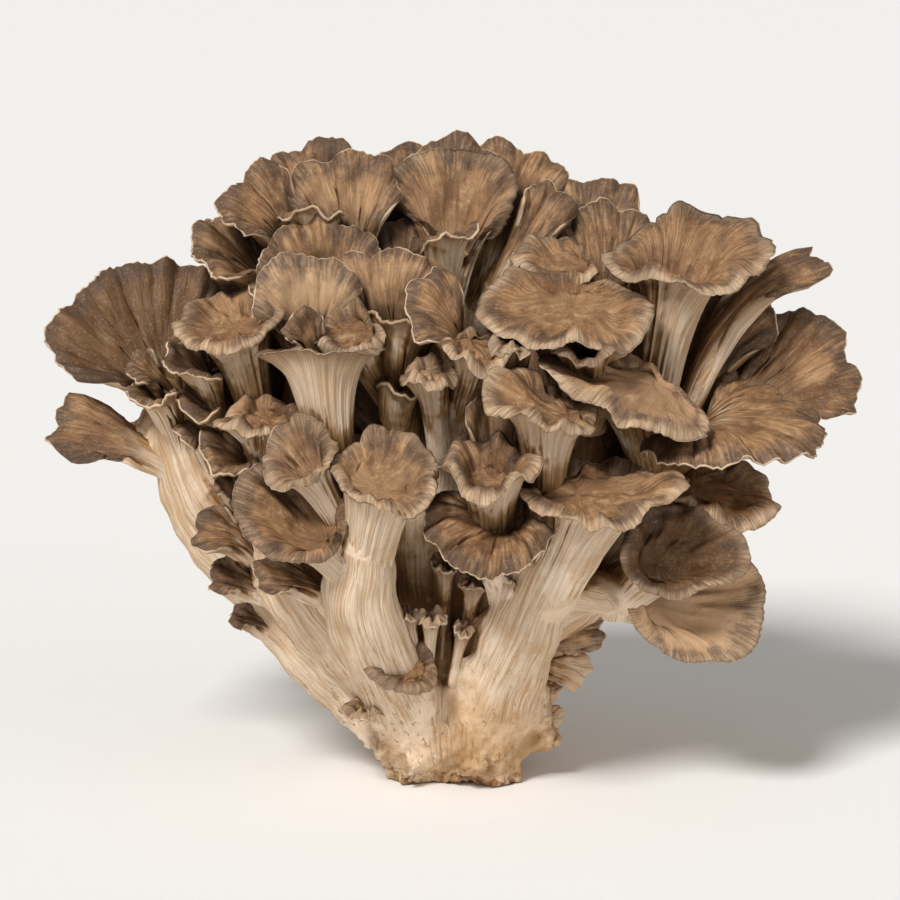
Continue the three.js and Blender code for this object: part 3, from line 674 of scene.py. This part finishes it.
grow_dish(
    "shaded_cup", (38, -18, 90), (35, -30, 105), (35, -37, 115), (-0.05, -0.16, 0.98),
    9.2, 9, 3, floor=5, droop=0.8, flare=0.4, tone_and_shade=0.2, ruffle=0.9,
)
grow_dish(
    "pale_cap", (0, -20, 82), (-1, -28, 100), (-2.5, -34, 108.5), (-0.1, -0.2, 0.97),
    8, 8, 3, floor=1.5, droop=1.9, flare=0.4, tone_and_shade=0.85,
)

# ---------------------------------------------------------------------------------------------
# The left side: small cups and shelves in tiers, a large ruffled fan at the far left and a
# narrow tongue below it. They grow from the two left branches.

grow_frond(
    "upper_left_cup", (-34, 0, 104), (-44, 0, 125), (-61, -4, 136), (0.1, -0.45, 0.85),
    80, 4, curl=-0.1, fold=0.15, tone_and_shade=0.45,
)
grow_frond(
    "crown_mid_left", (-29, -2, 94), (-28, -12, 122), (-35, -8, 141), (0, -0.85, 0.5),
    88, 4, fold=0.1, tone_and_shade=0.55,
)
grow_frond("edge_cap", (-30, -2, 118), (-31, -2, 137), (-33, -12, 144), (0, 0.1, 0.99), 70, 2.5)
grow_frond(
    "big_left_fan", (-60, -6, 84), (-71, -8, 103.5), (-75, 3, 129.5), (0.2, -0.8, 0.55),
    98, 5, curl=-0.05, fold=0.1, tone_and_shade=0.15, ruffle=1.2,
)
grow_frond(
    "low_left_tongue", (-60, -8, 74), (-76, -12, 86), (-95, -14, 93.5), (0.2, -0.75, 0.6),
    40, 3.2, curl=0.1, fold=-0.1, tone_and_shade=0.32, rounded=0.35,
)
grow_frond(
    "left_outer_cap", (-62, -9, 80), (-67, -12, 94), (-75, -22, 99), (-0.2, -0.45, 0.85),
    92, 4, curl=-0.1,
)
grow_frond(
    "left_small_cup", (-48, -14, 86), (-57, -14, 101), (-67, -22, 109), (0.1, -0.4, 0.9),
    92, 3.5, curl=-0.1, fold=0.1,
)
grow_frond(
    "left_lower_cup", (-42, -18, 70), (-47, -22, 83), (-58, -30, 88), (0.05, -0.5, 0.85),
    88, 3.5, curl=-0.1, fold=0.1,
)
grow_frond("gap_frond", (-46, 0, 88), (-50, 5, 106), (-55, 8, 126), (0, -0.85, 0.5), 55, 3.5, tone_and_shade=0.35)
grow_frond("curled_bud", (-64, -8, 90), (-68, -10, 100), (-77, -14, 106), (0, -0.5, 0.8), 60, 2.5)
grow_frond(
    "dark_cup", (-48, -16, 82), (-55, -16, 92), (-64, -22, 99), (0.1, -0.4, 0.9),
    80, 2.5, fold=0.1, tone_and_shade=0.3,
)
grow_frond("sliver_cap", (-54, -12, 76), (-58, -16, 87), (-65, -20, 91), (0, -0.3, 0.95), 60, 2)
grow_frond("tucked_cap", (-44, -20, 66), (-50, -26, 74), (-54, -30, 82), (0, -0.7, 0.6), 65, 2.5)
grow_frond("small_left_fan", (-46, -20, 58), (-48, -28, 65), (-60, -32, 70), (0, -0.8, 0.6), 48, 3)
grow_frond("low_left_fan", (-40, -18, 47), (-47, -24, 52.5), (-56.5, -28, 57.5), (0, -0.75, 0.65), 48, 2.5)
grow_frond("margin_bud", (-38, -12, 36), (-44, -14, 39), (-52, -16, 45), (0, -0.6, 0.8), 45, 2)

# ---------------------------------------------------------------------------------------------
# The front: round fans high up in the middle, shelves and a scoop below them, and a few small
# fronds low on the stipe and in the dark hollow between the two front branches.

grow_frond(
    "round_fan_left", (-29, -4, 90), (-31, -24, 117), (-35, -20, 135), (0.02, -0.88, 0.45),
    70, 3.5, tone_and_shade=0.78, ruffle=0.7, notch=0.03,
)
grow_frond(
    "round_fan_right", (-4, -6, 88), (-14, -18, 117), (-13, -14, 136), (0.02, -0.88, 0.45),
    72, 4, tone_and_shade=0.6, ruffle=0.5,
)
grow_frond("neck_frond", (-28, -26, 104), (-30, -30, 113), (-35, -34, 123), (0, -0.8, 0.5), 60, 2.5)
grow_frond(
    "tilted_cap", (-8, -18, 88), (-12, -22, 103), (-3, -30, 120), (0.15, 0.15, 0.95),
    110, 4, ruffle=0.6,
)
grow_frond("folded_fan", (2, -18, 98), (6, -28, 117), (-8, -34, 127), (0.2, -0.72, 0.68), 60, 3.5, tone_and_shade=0.55)
grow_frond("small_edge_cap", (-10, -20, 86), (-12, -24, 96), (-6, -32, 104), (0.2, 0.0, 0.95), 85, 2.5)
grow_frond(
    "inner_scoop", (19, -27, 46), (14, -36, 86), (14, -34, 103), (0, -0.9, 0.4),
    44, 4, fold=0.1, tone_and_shade=0.3,
)
grow_dish(
    "front_left_fan", (-20, -38, 62), (-27, -45, 81), (-34, -48, 91.5), (-0.22, -0.72, 0.66),
    9.8, 9.8, 3.2, floor=3, droop=1.6, flare=0.4, tone_and_shade=0.6, ruffle=0.9,
)
grow_dish(
    "front_left_scoop", (-20, -38, 56), (-27, -44, 67), (-36, -48, 77), (0.22, -0.78, 0.6),
    15, 13, 4.5, floor=7, droop=0.8, flare=0.5, tone_and_shade=0.42, ruffle=0.9,
)
grow_frond(
    "small_left_spatula", (-24, -28, 48), (-33, -34, 55.5), (-45, -39, 60.5), (0.1, -0.65, 0.75),
    42, 2.5, tone_and_shade=0.62,
)
grow_frond(
    "ruffled_front_fan", (18, -28, 54), (13, -46, 75), (6, -60, 65), (0, -0.75, 0.65),
    94, 4.5, curl=0.1, tone_and_shade=0.45, ruffle=1.9, notch=0.1,
)
grow_dish(
    "small_low_fan", (-4, -18, 26), (-7, -26, 30.5), (-9.5, -31.5, 35), (0.15, -0.8, 0.58),
    9.6, 8.2, 3, floor=0.8, flare=0.5, tone_and_shade=0.36, ruffle=0.7,
)
grow_dish(
    "foot_ruffle_left", (-14, -16, 15), (-17, -21, 18), (-19, -24.5, 22), (0, -0.5, 0.85),
    7, 4, 2, floor=1, droop=1.2, flare=0.45, tone_and_shade=0.4, ruffle=1.2,
)
grow_dish(
    "hollow_tuft_back", (0, -16, 30), (1, -22, 46), (1.5, -27, 60), (0, -0.3, 0.95),
    4.5, 4, 2.2, floor=2, droop=1.2, flare=0.3, tone_and_shade=0.4, ruffle=0.3,
)
grow_dish(
    "hollow_tuft_low", (3, -22, 26), (4, -27, 36), (6, -31, 44), (0.2, -0.4, 0.9),
    3.2, 3, 1.4, floor=1.5, flare=0.25, tone_and_shade=0.4, ruffle=0.25,
)
grow_dish(
    "hollow_tuft_right", (6, -20, 34), (7, -26, 46), (8.5, -31, 56), (0.1, -0.4, 0.9),
    4, 3.6, 1.6, floor=1.5, flare=0.25, tone_and_shade=0.35, ruffle=0.3,
)
for number, (x, z) in enumerate(((28.5, 21.5), (29.5, 15), (29, 9.5)), 1):
    ruffle = grow_frond(
        f"trunk_ruffle_{number}", (x - 8, -8, z - 2), (x - 3, -10, z), (x + 1.5, -12, z + 1.5),
        (0.2, -0.8, 0.5), 62, 2, ruffle=0.7,
    )
    ruffle.data.materials[0] = ruffle.data.materials[1] = trunk_flesh
grow_frond("trunk_bud", (16, -30, 46), (18, -36, 54), (16, -41, 60), (0, -0.6, 0.8), 60, 2)
grow_dish(
    "inner_tuft_left", (-5, -22, 28), (-6, -29, 40), (-8.5, -33, 48), (0, -0.3, 0.95),
    3.6, 3.2, 1.3, floor=1.2, flare=0.25, ruffle=0.3,
)
grow_dish(
    "inner_tuft_right", (-3, -22, 28), (-2.5, -29, 40), (-2, -33.5, 47.5), (0, -0.3, 0.95),
    4.2, 3.6, 1.5, floor=1.5, droop=1.2, flare=0.25, ruffle=0.4,
)

# ---------------------------------------------------------------------------------------------
# The right side: the broad shelves and the largest fans, which hang from long stalks, and two
# lower fans on the arm that reaches out to the right.

grow_frond(
    "far_right_tongue", (58, -8, 82), (67, -4, 118), (94.5, 2, 131), (-0.2, -0.6, 0.77),
    21, 3.6, ruffle=0.6, notch=0.02, rounded=0.45,
)
grow_frond(
    "right_outer_fan", (60, -10, 78), (80, -2, 96), (101, 2, 110), (-0.1, -0.75, 0.62),
    58, 5, tone_and_shade=0.4, ruffle=1.1,
)
grow_frond(
    "big_right_fan", (58, -10, 78), (66, -18, 96), (90, -33, 88), (0.12, -0.27, 0.955),
    104, 5.5, curl=0.05, tone_and_shade=0.55, ruffle=1.1, notch=0.1,
)
grow_frond("back_wall_fan", (62, 0, 78), (69, 5, 88), (72, 10, 109), (0, -0.85, 0.5), 56, 4, tone_and_shade=0.4)
grow_dish(
    "right_low_fan", (52, -12, 66), (63, -18, 69), (70.5, -26, 77), (0.1, -0.42, 0.9),
    14.5, 12, 3.5, floor=2, droop=3.2, flare=0.5, ruffle=1.1,
)
grow_dish(
    "dark_drooping_fan", (44, -25, 48), (52, -32, 58), (58.5, -40, 65.5), (0.05, -0.86, 0.5),
    17.5, 11.5, 4.5, floor=3, droop=1.6, flare=0.5, tone_and_shade=0.12, ruffle=1.2,
)
grow_dish(
    "low_right_fan", (40, -24, 48), (53, -27, 48.5), (64, -32, 49.5), (-0.05, -0.93, 0.36),
    16.5, 15.5, 4, floor=1.5, droop=1.6, flare=0.5, tone_and_shade=0.8, ruffle=1.0,
)
grow_frond(
    "trunk_side_fan", (18, -8, 30), (25, -10, 34), (40.5, -14, 41), (-0.15, -0.93, 0.35),
    27, 2.5, tone_and_shade=1.0, ruffle=0.6,
)
side_fan = grow_frond(
    "side_fan_small", (20, -8, 27), (27, -12, 30), (37.5, -14, 28), (0.1, -0.9, 0.45),
    40, 1.8, ruffle=0.5,
)
side_fan.data.materials[0] = trunk_flesh

# ---------------------------------------------------------------------------------------------
# The middle: fronds that stand in the shade between the front and the back of the cluster, and
# close the view through it. They are darker, since little light reaches them.

for name, root, neck, tip, up, spread, tone_and_shade in (
    ("inner_fan_far_left", (-46, -2, 70), (-52, 2, 84), (-56, 6, 108), (0, -0.85, 0.5), 75, 0.3),
    ("inner_fan_left", (-30, 0, 66), (-34, 4, 86), (-36, 6, 112), (0, -0.9, 0.4), 80, 0.3),
    ("inner_fan_mid_left", (-20, 4, 62), (-20, 8, 76), (-20, 10, 100), (0, -0.9, 0.4), 80, 0.3),
    ("inner_fan_far_right_high", (58, -2, 82), (64, 2, 102), (74, 6, 125), (-0.3, -0.85, 0.4), 50, 0.3),
    ("inner_fan_far_right_low", (54, -14, 58), (58, -14, 66), (62, -14, 86), (0, -0.9, 0.4), 70, 0.3),
    ("inner_fan_left_low", (-22, -10, 50), (-26, -10, 66), (-32, -14, 88), (0, -0.9, 0.4), 70, 0.75),
    ("inner_fan_middle", (-6, 0, 66), (-7, 2, 84), (-8, 2, 110), (0, -0.9, 0.4), 80, 0.3),
    ("inner_fan_middle_low", (4, -6, 44), (5, -6, 62), (6, -8, 88), (0, -0.9, 0.4), 70, 0.9),
    ("inner_fan_middle_high", (4, 4, 92), (10, 10, 106), (12, 14, 132), (0, -0.9, 0.4), 80, 0.35),
    ("inner_fan_left_high", (-26, 4, 98), (-14, 10, 118), (-12, 14, 141), (0, -0.9, 0.4), 70, 0.35),
    ("inner_fan_right", (24, 0, 66), (26, 3, 84), (28, 5, 112), (0, -0.9, 0.4), 80, 0.3),
    ("inner_fan_right_high", (34, 2, 88), (48, 8, 98), (52, 12, 124), (0, -0.9, 0.4), 75, 0.35),
    ("inner_fan_far_right", (46, -6, 60), (50, -2, 74), (54, 0, 102), (0, -0.9, 0.4), 80, 0.3),
    ("inner_fan_right_low", (34, -14, 50), (40, -18, 62), (46, -20, 84), (0, -0.9, 0.4), 70, 0.9),
):
    grow_frond(name, root, neck, tip, up, spread, 4, tone_and_shade=tone_and_shade)

# ---------------------------------------------------------------------------------------------
# The back: the same fans and shelves, turned to face the other way, on the three back branches.

grow_frond("back_crown_left", (-28, 5, 98), (-26, 26, 124), (-31, 34, 146), (-0.1, 0.85, 0.5), 75, 4.5)
grow_frond(
    "back_crown_right", (3, 30, 84), (14, 28, 124), (19, 36, 148), (0.1, 0.85, 0.5),
    72, 4.5, fold=0.05, tone_and_shade=0.58,
)
grow_dish(
    "back_middle_fan", (0, 28, 78), (-1, 37, 96), (-2, 44, 111), (0, 0.5, 0.87),
    15.5, 13, 4.5, floor=4, droop=3.0, ruffle=1.2,
)
grow_dish(
    "back_left_fan", (-42, 28, 70), (-50, 36, 86), (-60, 40, 99), (-0.25, 0.5, 0.83),
    16.5, 14, 4.5, floor=4, droop=3.0, ruffle=1.3,
)
grow_dish(
    "back_right_fan", (46, 26, 70), (55, 33, 88), (66, 36, 101), (0.25, 0.5, 0.83),
    16.5, 14, 4.5, floor=4, droop=3.0, ruffle=1.3,
)
grow_dish(
    "back_low_shelf", (0, 30, 50), (3, 42, 65), (5, 51, 77), (0, 0.42, 0.9),
    17.5, 13.5, 5, floor=3, droop=3.4, flare=0.45, ruffle=1.3,
)
grow_dish(
    "back_left_shelf", (-34, 26, 52), (-44, 36, 61), (-53, 44, 71), (-0.2, 0.42, 0.88),
    16, 13, 4.5, floor=3, droop=3.2, flare=0.45, ruffle=1.2,
)
grow_dish(
    "back_right_shelf", (38, 24, 50), (48, 34, 62), (58, 42, 73), (0.2, 0.42, 0.88),
    16, 13, 4.5, floor=3, droop=3.2, flare=0.45, ruffle=1.2,
)

# Smaller caps fill the back in tiers: the name, the foot of the stalk, the middle of the cap,
# its half width and its tone, which also paints shade.
for name, root, rim, half_width, tone_and_shade in (
    ("back_cap_top_left", (-38, 20, 92), (-48, 27, 135), 13, 0.5),
    ("back_cap_top_middle", (0, 30, 88), (-7, 38, 136), 13.5, 0.55),
    ("back_cap_top_right", (44, 26, 84), (53, 30, 129), 13.5, 0.5),
    ("back_cap_top_outer", (58, 2, 84), (75, 20, 121), 12, 0.45),
    ("back_cap_upper_left", (-38, 30, 76), (-33, 43, 121), 12.5, 0.6),
    ("back_cap_upper_right", (40, 28, 76), (28, 43, 122), 13.5, 0.5),
    ("back_cap_far_left", (-60, -4, 80), (-79, 18, 111), 13, 0.5),
    ("back_cap_far_right", (60, -4, 82), (87, 19, 103), 13, 0.55),
    ("back_cap_middle_left", (-34, 28, 62), (-28, 50, 94), 14, 0.5),
    ("back_cap_middle_right", (32, 26, 58), (32, 50, 96), 14.5, 0.6),
    ("back_cap_outer_left", (-50, -4, 60), (-76, 27, 84), 12.5, 0.45),
    ("back_cap_outer_right", (52, -6, 66), (80, 27, 82), 12.5, 0.5),
    ("back_cap_low_left", (-18, 18, 38), (-27, 50, 66), 11, 0.5),
    ("back_cap_low_right", (20, 18, 38), (30, 48, 66), 11, 0.45),
    ("back_cap_foot_left", (-4, 18, 34), (-12, 42, 51), 8, 0.55),
    ("back_cap_foot_right", (10, 14, 30), (18, 38, 47), 7, 0.5),
    ("back_cap_side_left", (-34, -4, 42), (-56, 24, 60), 10.5, 0.5),
    ("back_cap_side_right", (34, -4, 46), (56, 22, 57), 10.5, 0.55),
):
    lean = (rim[0] / 170, 0.42, 0.88)
    neck = tuple(0.42 * a + 0.58 * b + c for a, b, c in zip(root, rim, (0, -3, 3)))
    sizes = half_width, 0.88 * half_width, 0.3 * half_width
    grow_dish(name, root, neck, rim, lean, *sizes, floor=3, droop=2.8, flare=0.45, tone_and_shade=tone_and_shade, ruffle=1.2)
for name, root, neck, tip, up, spread, tone_and_shade in (
    ("inner_fan_back_left", (-34, 16, 56), (-38, 18, 74), (-42, 20, 108), (0, 0.9, 0.4), 80, 0.3),
    ("inner_fan_back_middle_left", (-14, 16, 56), (-16, 20, 74), (-18, 24, 110), (0, 0.9, 0.4), 80, 0.3),
    ("inner_fan_back_middle_right", (14, 16, 56), (16, 20, 74), (18, 24, 110), (0, 0.9, 0.4), 80, 0.3),
    ("inner_fan_back_right", (40, 10, 60), (46, 14, 76), (52, 18, 108), (0, 0.9, 0.4), 80, 0.3),
    ("inner_fan_back_top", (0, 18, 92), (2, 22, 110), (4, 24, 142), (0, 0.9, 0.4), 75, 0.35),
):
    grow_frond(name, root, neck, tip, up, spread, 4, tone_and_shade=tone_and_shade)

# ---------------------------------------------------------------------------------------------
# The stipe: one solid body of cream, fibrous flesh, cut flat below, that divides into twelve
# branches and runs up round the foot of every frond. One skin covers the butt and the branches.

# Levels of the butt: height, middle, half width and half depth.
butt_levels = np.array((
    (0, 0.5, 14.5, 17), (4, 2.5, 18, 19), (10, 4, 23, 23),
    (18, 3.5, 23.5, 24), (27, 1, 22, 21), (33, 0, 13, 12),
))
# Knots of the branches, from the butt up: x, y, z and radius.
branches = {
    "left_outer_branch": (
        (-3, -2, 2, 9), (-12, -6, 15, 11), (-28, -8, 33, 11.5), (-44, -8, 52, 11), (-59, -8, 72, 10.5),
        (-66, -8, 88, 7),
    ),
    "left_inner_branch": (
        (-6, -7, 4, 9), (-11, -10, 18, 9.5), (-26, -19, 38, 8.5), (-38, -22, 56, 7.7), (-45, -20, 76, 6.5),
        (-48, -12, 92, 5),
    ),
    "front_left_branch": (
        (-3, -10, 0, 9), (-6, -13, 14, 10), (-14, -26, 34, 9), (-19.5, -36, 52, 9.5), (-18.5, -40, 63, 7.5),
    ),
    "front_right_branch": (
        (9, -9, 0, 12), (11, -11, 14, 12.5), (15, -20, 30, 11), (21, -29, 46, 10), (27, -35, 62, 8),
    ),
    "right_arm": ((16, -20, 40, 7.5), (30, -22, 49, 6.5), (42, -25, 52, 5.5), (50, -27, 51, 5)),
    "right_branch": (
        (10, -2, 2, 12), (13, -4, 18, 12), (23, -7, 36, 10.5), (36, -10, 50, 9.5), (49, -12, 62, 9),
        (59, -12, 78, 7.5), (62, -10, 86, 6),
    ),
    "core_branch": ((0, 0, 24, 12), (-2, -4, 48, 11), (-3, -6, 78, 10.2), (-1, 0, 102, 9), (0, 6, 116, 8)),
    "core_left_branch": (
        (-10, 2, 24, 10), (-22, 2, 52, 9.2), (-31, -2, 82, 8.5), (-30, 2, 104, 7.5), (-27, 6, 116, 6),
    ),
    "core_right_branch": ((8, 2, 24, 10), (23, 0, 52, 9), (34, -2, 80, 8), (36, 4, 100, 7)),
    "back_left_branch": ((-8, 10, 20, 10), (-25, 24, 44, 9), (-37, 31, 66, 8), (-42, 32, 82, 7)),
    "back_middle_branch": ((0, 12, 20, 11), (0, 27, 44, 9), (0, 34, 68, 8), (0, 32, 90, 7)),
    "back_right_branch": ((10, 10, 20, 10), (27, 22, 44, 9), (40, 29, 66, 8), (46, 30, 82, 7)),
}
# Flesh stands out in flanges on the right of the butt, and in lumps round its foot: where each
# begins and ends, and its half width.
flanges = (
    ((14, -10, 4), (28, -11, 11), 4.5), ((14, -10, 12), (27.5, -12, 17.5), 4.5),
    ((15, -10, 18), (27.5, -13, 24), 4.0), ((-4, -14, 6), (-9, -20, 4), 5.5),
    ((6, -16, 5), (11, -20, 4.5), 5.5), ((-10, -10, 8), (-16, -15, 9), 4.5),
)
# What a point of the skin belongs to: 0 the butt, 1 to 12 a branch, then the flanges, then the stalks.
first_branch, first_flange, first_stalk = 1, 14, 20


def smooth_way(knots, steps):
    knots = np.array(knots, float)
    padded = np.vstack((2 * knots[0] - knots[1], knots, 2 * knots[-1] - knots[-2]))
    way = []
    for value in np.linspace(0, len(knots) - 1, steps):
        i = min(int(value), len(knots) - 2)
        x = value - i
        a, b, c, d = padded[i : i + 4]
        square, cube = 2 * a - 5 * b + 4 * c - d, 3 * b - a - 3 * c + d
        way.append(0.5 * (2 * b + (c - a) * x + square * x * x + cube * x ** 3))
    return np.array(way)


def unit_rows(rows):
    return rows / np.linalg.norm(rows, axis=1)[:, None]


def tube(rings, sides):
    made, mesh, start = start_grid("stipe_tube", sides, len(rings) + 1)
    angle = (start[:, 0] + 1) * math.pi
    row = np.rint((start[:, 1] + 1) / 2 * (len(rings) + 1)).astype(int)
    points = np.empty_like(start)
    for index in range(len(start)):
        place, side, front = rings[min(max(row[index] - 1, 0), len(rings) - 1)]
        reach = 0.0 if row[index] in (0, len(rings) + 1) else 1.0
        points[index] = place + reach * (side * math.cos(angle[index]) + front * math.sin(angle[index]))
    place_points(mesh, points)
    close_seam(0.00001)
    tubes.append(made)


def guide(rings, owner):
    places, sides, fronts = (np.array([ring[k] for ring in rings]) for k in range(3))
    length = np.concatenate(((0,), np.cumsum(np.linalg.norm(np.diff(places, axis=0), axis=1))))
    for place, side, front, run in zip(places, sides, fronts, length):
        guides.append((*place, *side, *front, run, owner))


tubes = []
guides = []
butt_rings = []
for z, x, half_width, half_depth in butt_levels:
    butt_rings.append((np.array((x, 0, z)), np.array((half_width, 0, 0)), np.array((0, half_depth, 0))))
butt_rings[0] = (np.array((0.0, 0.0, -2.0)), *butt_rings[0][1:])
tube(butt_rings, 40)
for z in (1, 5, 9, 14, 20, 26):
    x, half_width, half_depth = (np.interp(z, butt_levels[:, 0], butt_levels[:, k]) for k in (1, 2, 3))
    guides.append((x, 0, z, half_width, 0, 0, 0, half_depth, 0, z, 0))
for owner, knots in enumerate(branches.values(), first_branch):
    way = smooth_way(knots, 26)
    places, radii = way[:, :3], way[:, 3:]
    ahead = unit_rows(np.gradient(places, axis=0))
    side = unit_rows(np.array((1.0, 0.0, 0.0)) - ahead * ahead[:, :1])
    front = np.cross(ahead, side) * 0.85 * radii
    side = side * radii
    rings = list(zip(places, side, front))
    guide(rings, owner)
    rings.append((places[-1] + ahead[-1] * radii[-1] * 0.5, side[-1] * 0.7, front[-1] * 0.7))
    tube(rings, 20)
for owner, (begin, end, size) in enumerate(flanges, first_flange):
    begin, end = np.array(begin, float), np.array(end, float)
    rings = []
    for along in (0.0, 0.35, 0.7, 1.0):
        narrowed = size * (1 - 0.35 * along)
        side, front = np.array((0.0, 0.0, narrowed)), np.array((0.0, 1.3 * narrowed, 0.0))
        rings.append((begin + (end - begin) * along, side, front))
    tube(rings, 16)
    guide(rings, owner)
for owner, rings in enumerate(stalk_tubes, first_stalk):
    tube(rings, 14)
    guide(rings, owner)

bpy.ops.object.select_all(action="DESELECT")
for made in tubes:
    made.select_set(True)
bpy.context.view_layer.objects.active = tubes[0]
bpy.ops.object.join()
stipe = bpy.context.object
stipe.name = "stipe"
union = stipe.modifiers.new("union", "REMESH")
union.mode = "VOXEL"
union.voxel_size = 0.00112
bpy.ops.object.modifier_apply(modifier="union")
blend = stipe.modifiers.new("blend", "SMOOTH")
blend.factor = 0.5
blend.iterations = 7
bpy.ops.object.modifier_apply(modifier="blend")

# Each point of the skin takes its fibre direction from the nearest guide, and is clear of the
# others or lies where two of them run together.
guides = np.array(guides)
points = read_points(stipe.data) * 1000
normals = read_points(stipe.data, "normal")
guide_size = np.minimum(np.linalg.norm(guides[:, 3:6], axis=1), np.linalg.norm(guides[:, 6:9], axis=1))
guide_size = guide_size * np.where(guides[:, 10] < first_stalk, 1.0, 0.75)
fibre_turn, fibre_run, fibre_owner, clear = np.empty((4, len(points)))
batch = 4000
for begin in range(0, len(points), batch):
    part = points[begin : begin + batch]
    stop = slice(begin, begin + len(part))
    distance = np.linalg.norm(part[:, None] - guides[None, :, :3], axis=2) / guide_size
    best = distance.argmin(1)
    owner = guides[best, 10]
    other = np.where(guides[None, :, 10] == owner[:, None], 99.0, distance).min(1)
    offset = part - guides[best, :3]
    side, front = guides[best, 3:6], guides[best, 6:9]
    along_side, along_front = ((offset * way).sum(1) / (way ** 2).sum(1) for way in (side, front))
    ahead = unit_rows(np.cross(side, front))
    fibre_turn[stop] = np.arctan2(along_front, along_side)
    fibre_run[stop] = guides[best, 9] + (offset * ahead).sum(1)
    fibre_owner[stop] = owner
    clear[stop] = np.clip((other - distance[np.arange(len(part)), best]) * 4.5, 0, 1)

ridge = (
    0.50 * np.sin(6 * fibre_turn + 0.045 * fibre_run + fibre_owner)
    + 0.38 * np.sin(11 * fibre_turn - 0.06 * fibre_run + 2 * fibre_owner)
    + 0.28 * np.sin(19 * fibre_turn + 0.05 * fibre_run + 3 * fibre_owner)
    + 0.22 * np.sin(31 * fibre_turn - 0.04 * fibre_run)
)
lump = (
    np.sin(points @ (0.21, 0.13, 0.17) + 1)
    + np.sin(points @ (-0.15, 0.24, 0.11) + 2)
    + 0.7 * np.sin(points @ (0.37, -0.21, 0.33) + 3)
    + 0.5 * np.sin(points @ (-0.52, 0.31, 0.47) + 4)
)
knobs = (
    np.sin(points @ (0.9, 0.5, -0.7) + 1) * np.sin(points @ (-0.6, 0.8, 0.9) + 2)
    + 0.7 * np.sin(points @ (1.5, -1.1, 1.3)) * np.sin(points @ (0.9, 1.6, -1.2) + 1)
)
knobs = 0.65 * knobs * (1 - eased(points[:, 2], 5.0, 24.0))
branch_like = np.where(fibre_owner < first_stalk, 1.0, 0.45)
points += normals * ((0.24 * ridge * clear + 0.45 * lump) * branch_like + knobs)[:, None]
# The cut is ragged: its rim is chipped and torn all round.
low_part = 1 - eased(points[:, 2], 1.0, 9.0)
round_angle = np.arctan2(points[:, 1], points[:, 0] - 1)
torn = (
    0.05 * np.sin(5 * round_angle + 1)
    + 0.045 * np.sin(9 * round_angle + 2)
    + 0.03 * np.sin(17 * round_angle)
    - 0.05
    + 0.018 * np.sin(29 * round_angle + 0.9 * points[:, 2])
)
points[:, :2] *= (1 + torn * low_part)[:, None]
rim_part = eased(np.hypot(points[:, 0] - 1, points[:, 1]), 11.0, 17.0)
arch = np.clip(np.sin(4 * round_angle + 0.6) + 0.35 * np.sin(9 * round_angle), 0, 1)
points[:, 2] += 2.6 * arch * rim_part * (1 - eased(points[:, 2], 0.5, 8.0))
cut_level = 0.7
points[:, 2] = np.where(points[:, 2] < cut_level, 0.0, points[:, 2])
place_points(stipe.data, points)
stipe.data.update()
around = fibre_turn * np.where(fibre_owner == 0, 22, np.where(fibre_owner < first_stalk, 9.0, 4.0)) / 10
put_vector(stipe.data, "fibres", (around, fibre_run / 10, fibre_owner * 1.7))
# No margin is near, nothing here has opened into a blade, and its tone and painted shade are middling.
growth = [np.full(len(points), value) for value in (5.0, 0.0, 0.5)]
put_vector(stipe.data, "growth", growth)
put_value(stipe.data, "plain", 1 - 0.9 * clear)
stipe.data.materials.clear()
stipe.data.materials.append(trunk_flesh)
finish_piece(stipe, "stipe_flesh", "butt", *branches)

# ---------------------------------------------------------------------------------------------
# Painted shade in the gaps: flesh and skin deep between the fronds are painted darker than outside,
# as shade. How closed-in each point is, from 0 in the open to 1 deep inside, is measured on a grid
# of what fills the air.

cell = 2.0
lowest_cell = np.array((-112.0, -80.0, -4.0))
grid_size = np.array((112, 82, 88))
filled = np.zeros(grid_size, bool)


def cells_at(places_mm):
    spots = ((places_mm - lowest_cell) / cell).astype(int)
    return tuple(np.clip(spots, 0, grid_size - 1).T)


for piece in all_pieces:
    filled[cells_at(read_points(piece.data) * 1000)] = True
ways = [(x, y, z) for x in (-1, 0, 1) for y in (-1, 0, 1) for z in (-1, 0, 1) if (x, y, z) != (0, 0, 0)]
ways += [(2 * x, 2 * y, z) for x, y, z in ways if abs(x) + abs(y) == 1 and z]
ways = [unit(np.array(way, float)) for way in ways]
reaches = (5.0, 7.5, 10.0, 13.0, 16.0, 20.0, 25.0, 31.0, 38.0)
for piece in all_pieces:
    points = read_points(piece.data) * 1000
    normals = read_points(piece.data, "normal")
    closed = np.zeros(len(points))
    total = np.zeros(len(points))
    for way in ways:
        facing = np.clip(normals @ way, 0, 1)
        blocked = np.zeros(len(points))
        for reach in reaches:
            hit = filled[cells_at(points + normals * 2.0 + way * reach)]
            blocked = np.maximum(blocked, hit * (1.0 - 0.012 * reach))
        closed += facing * blocked
        total += facing
    put_value(piece.data, "crevice", closed / np.maximum(total, 0.001))
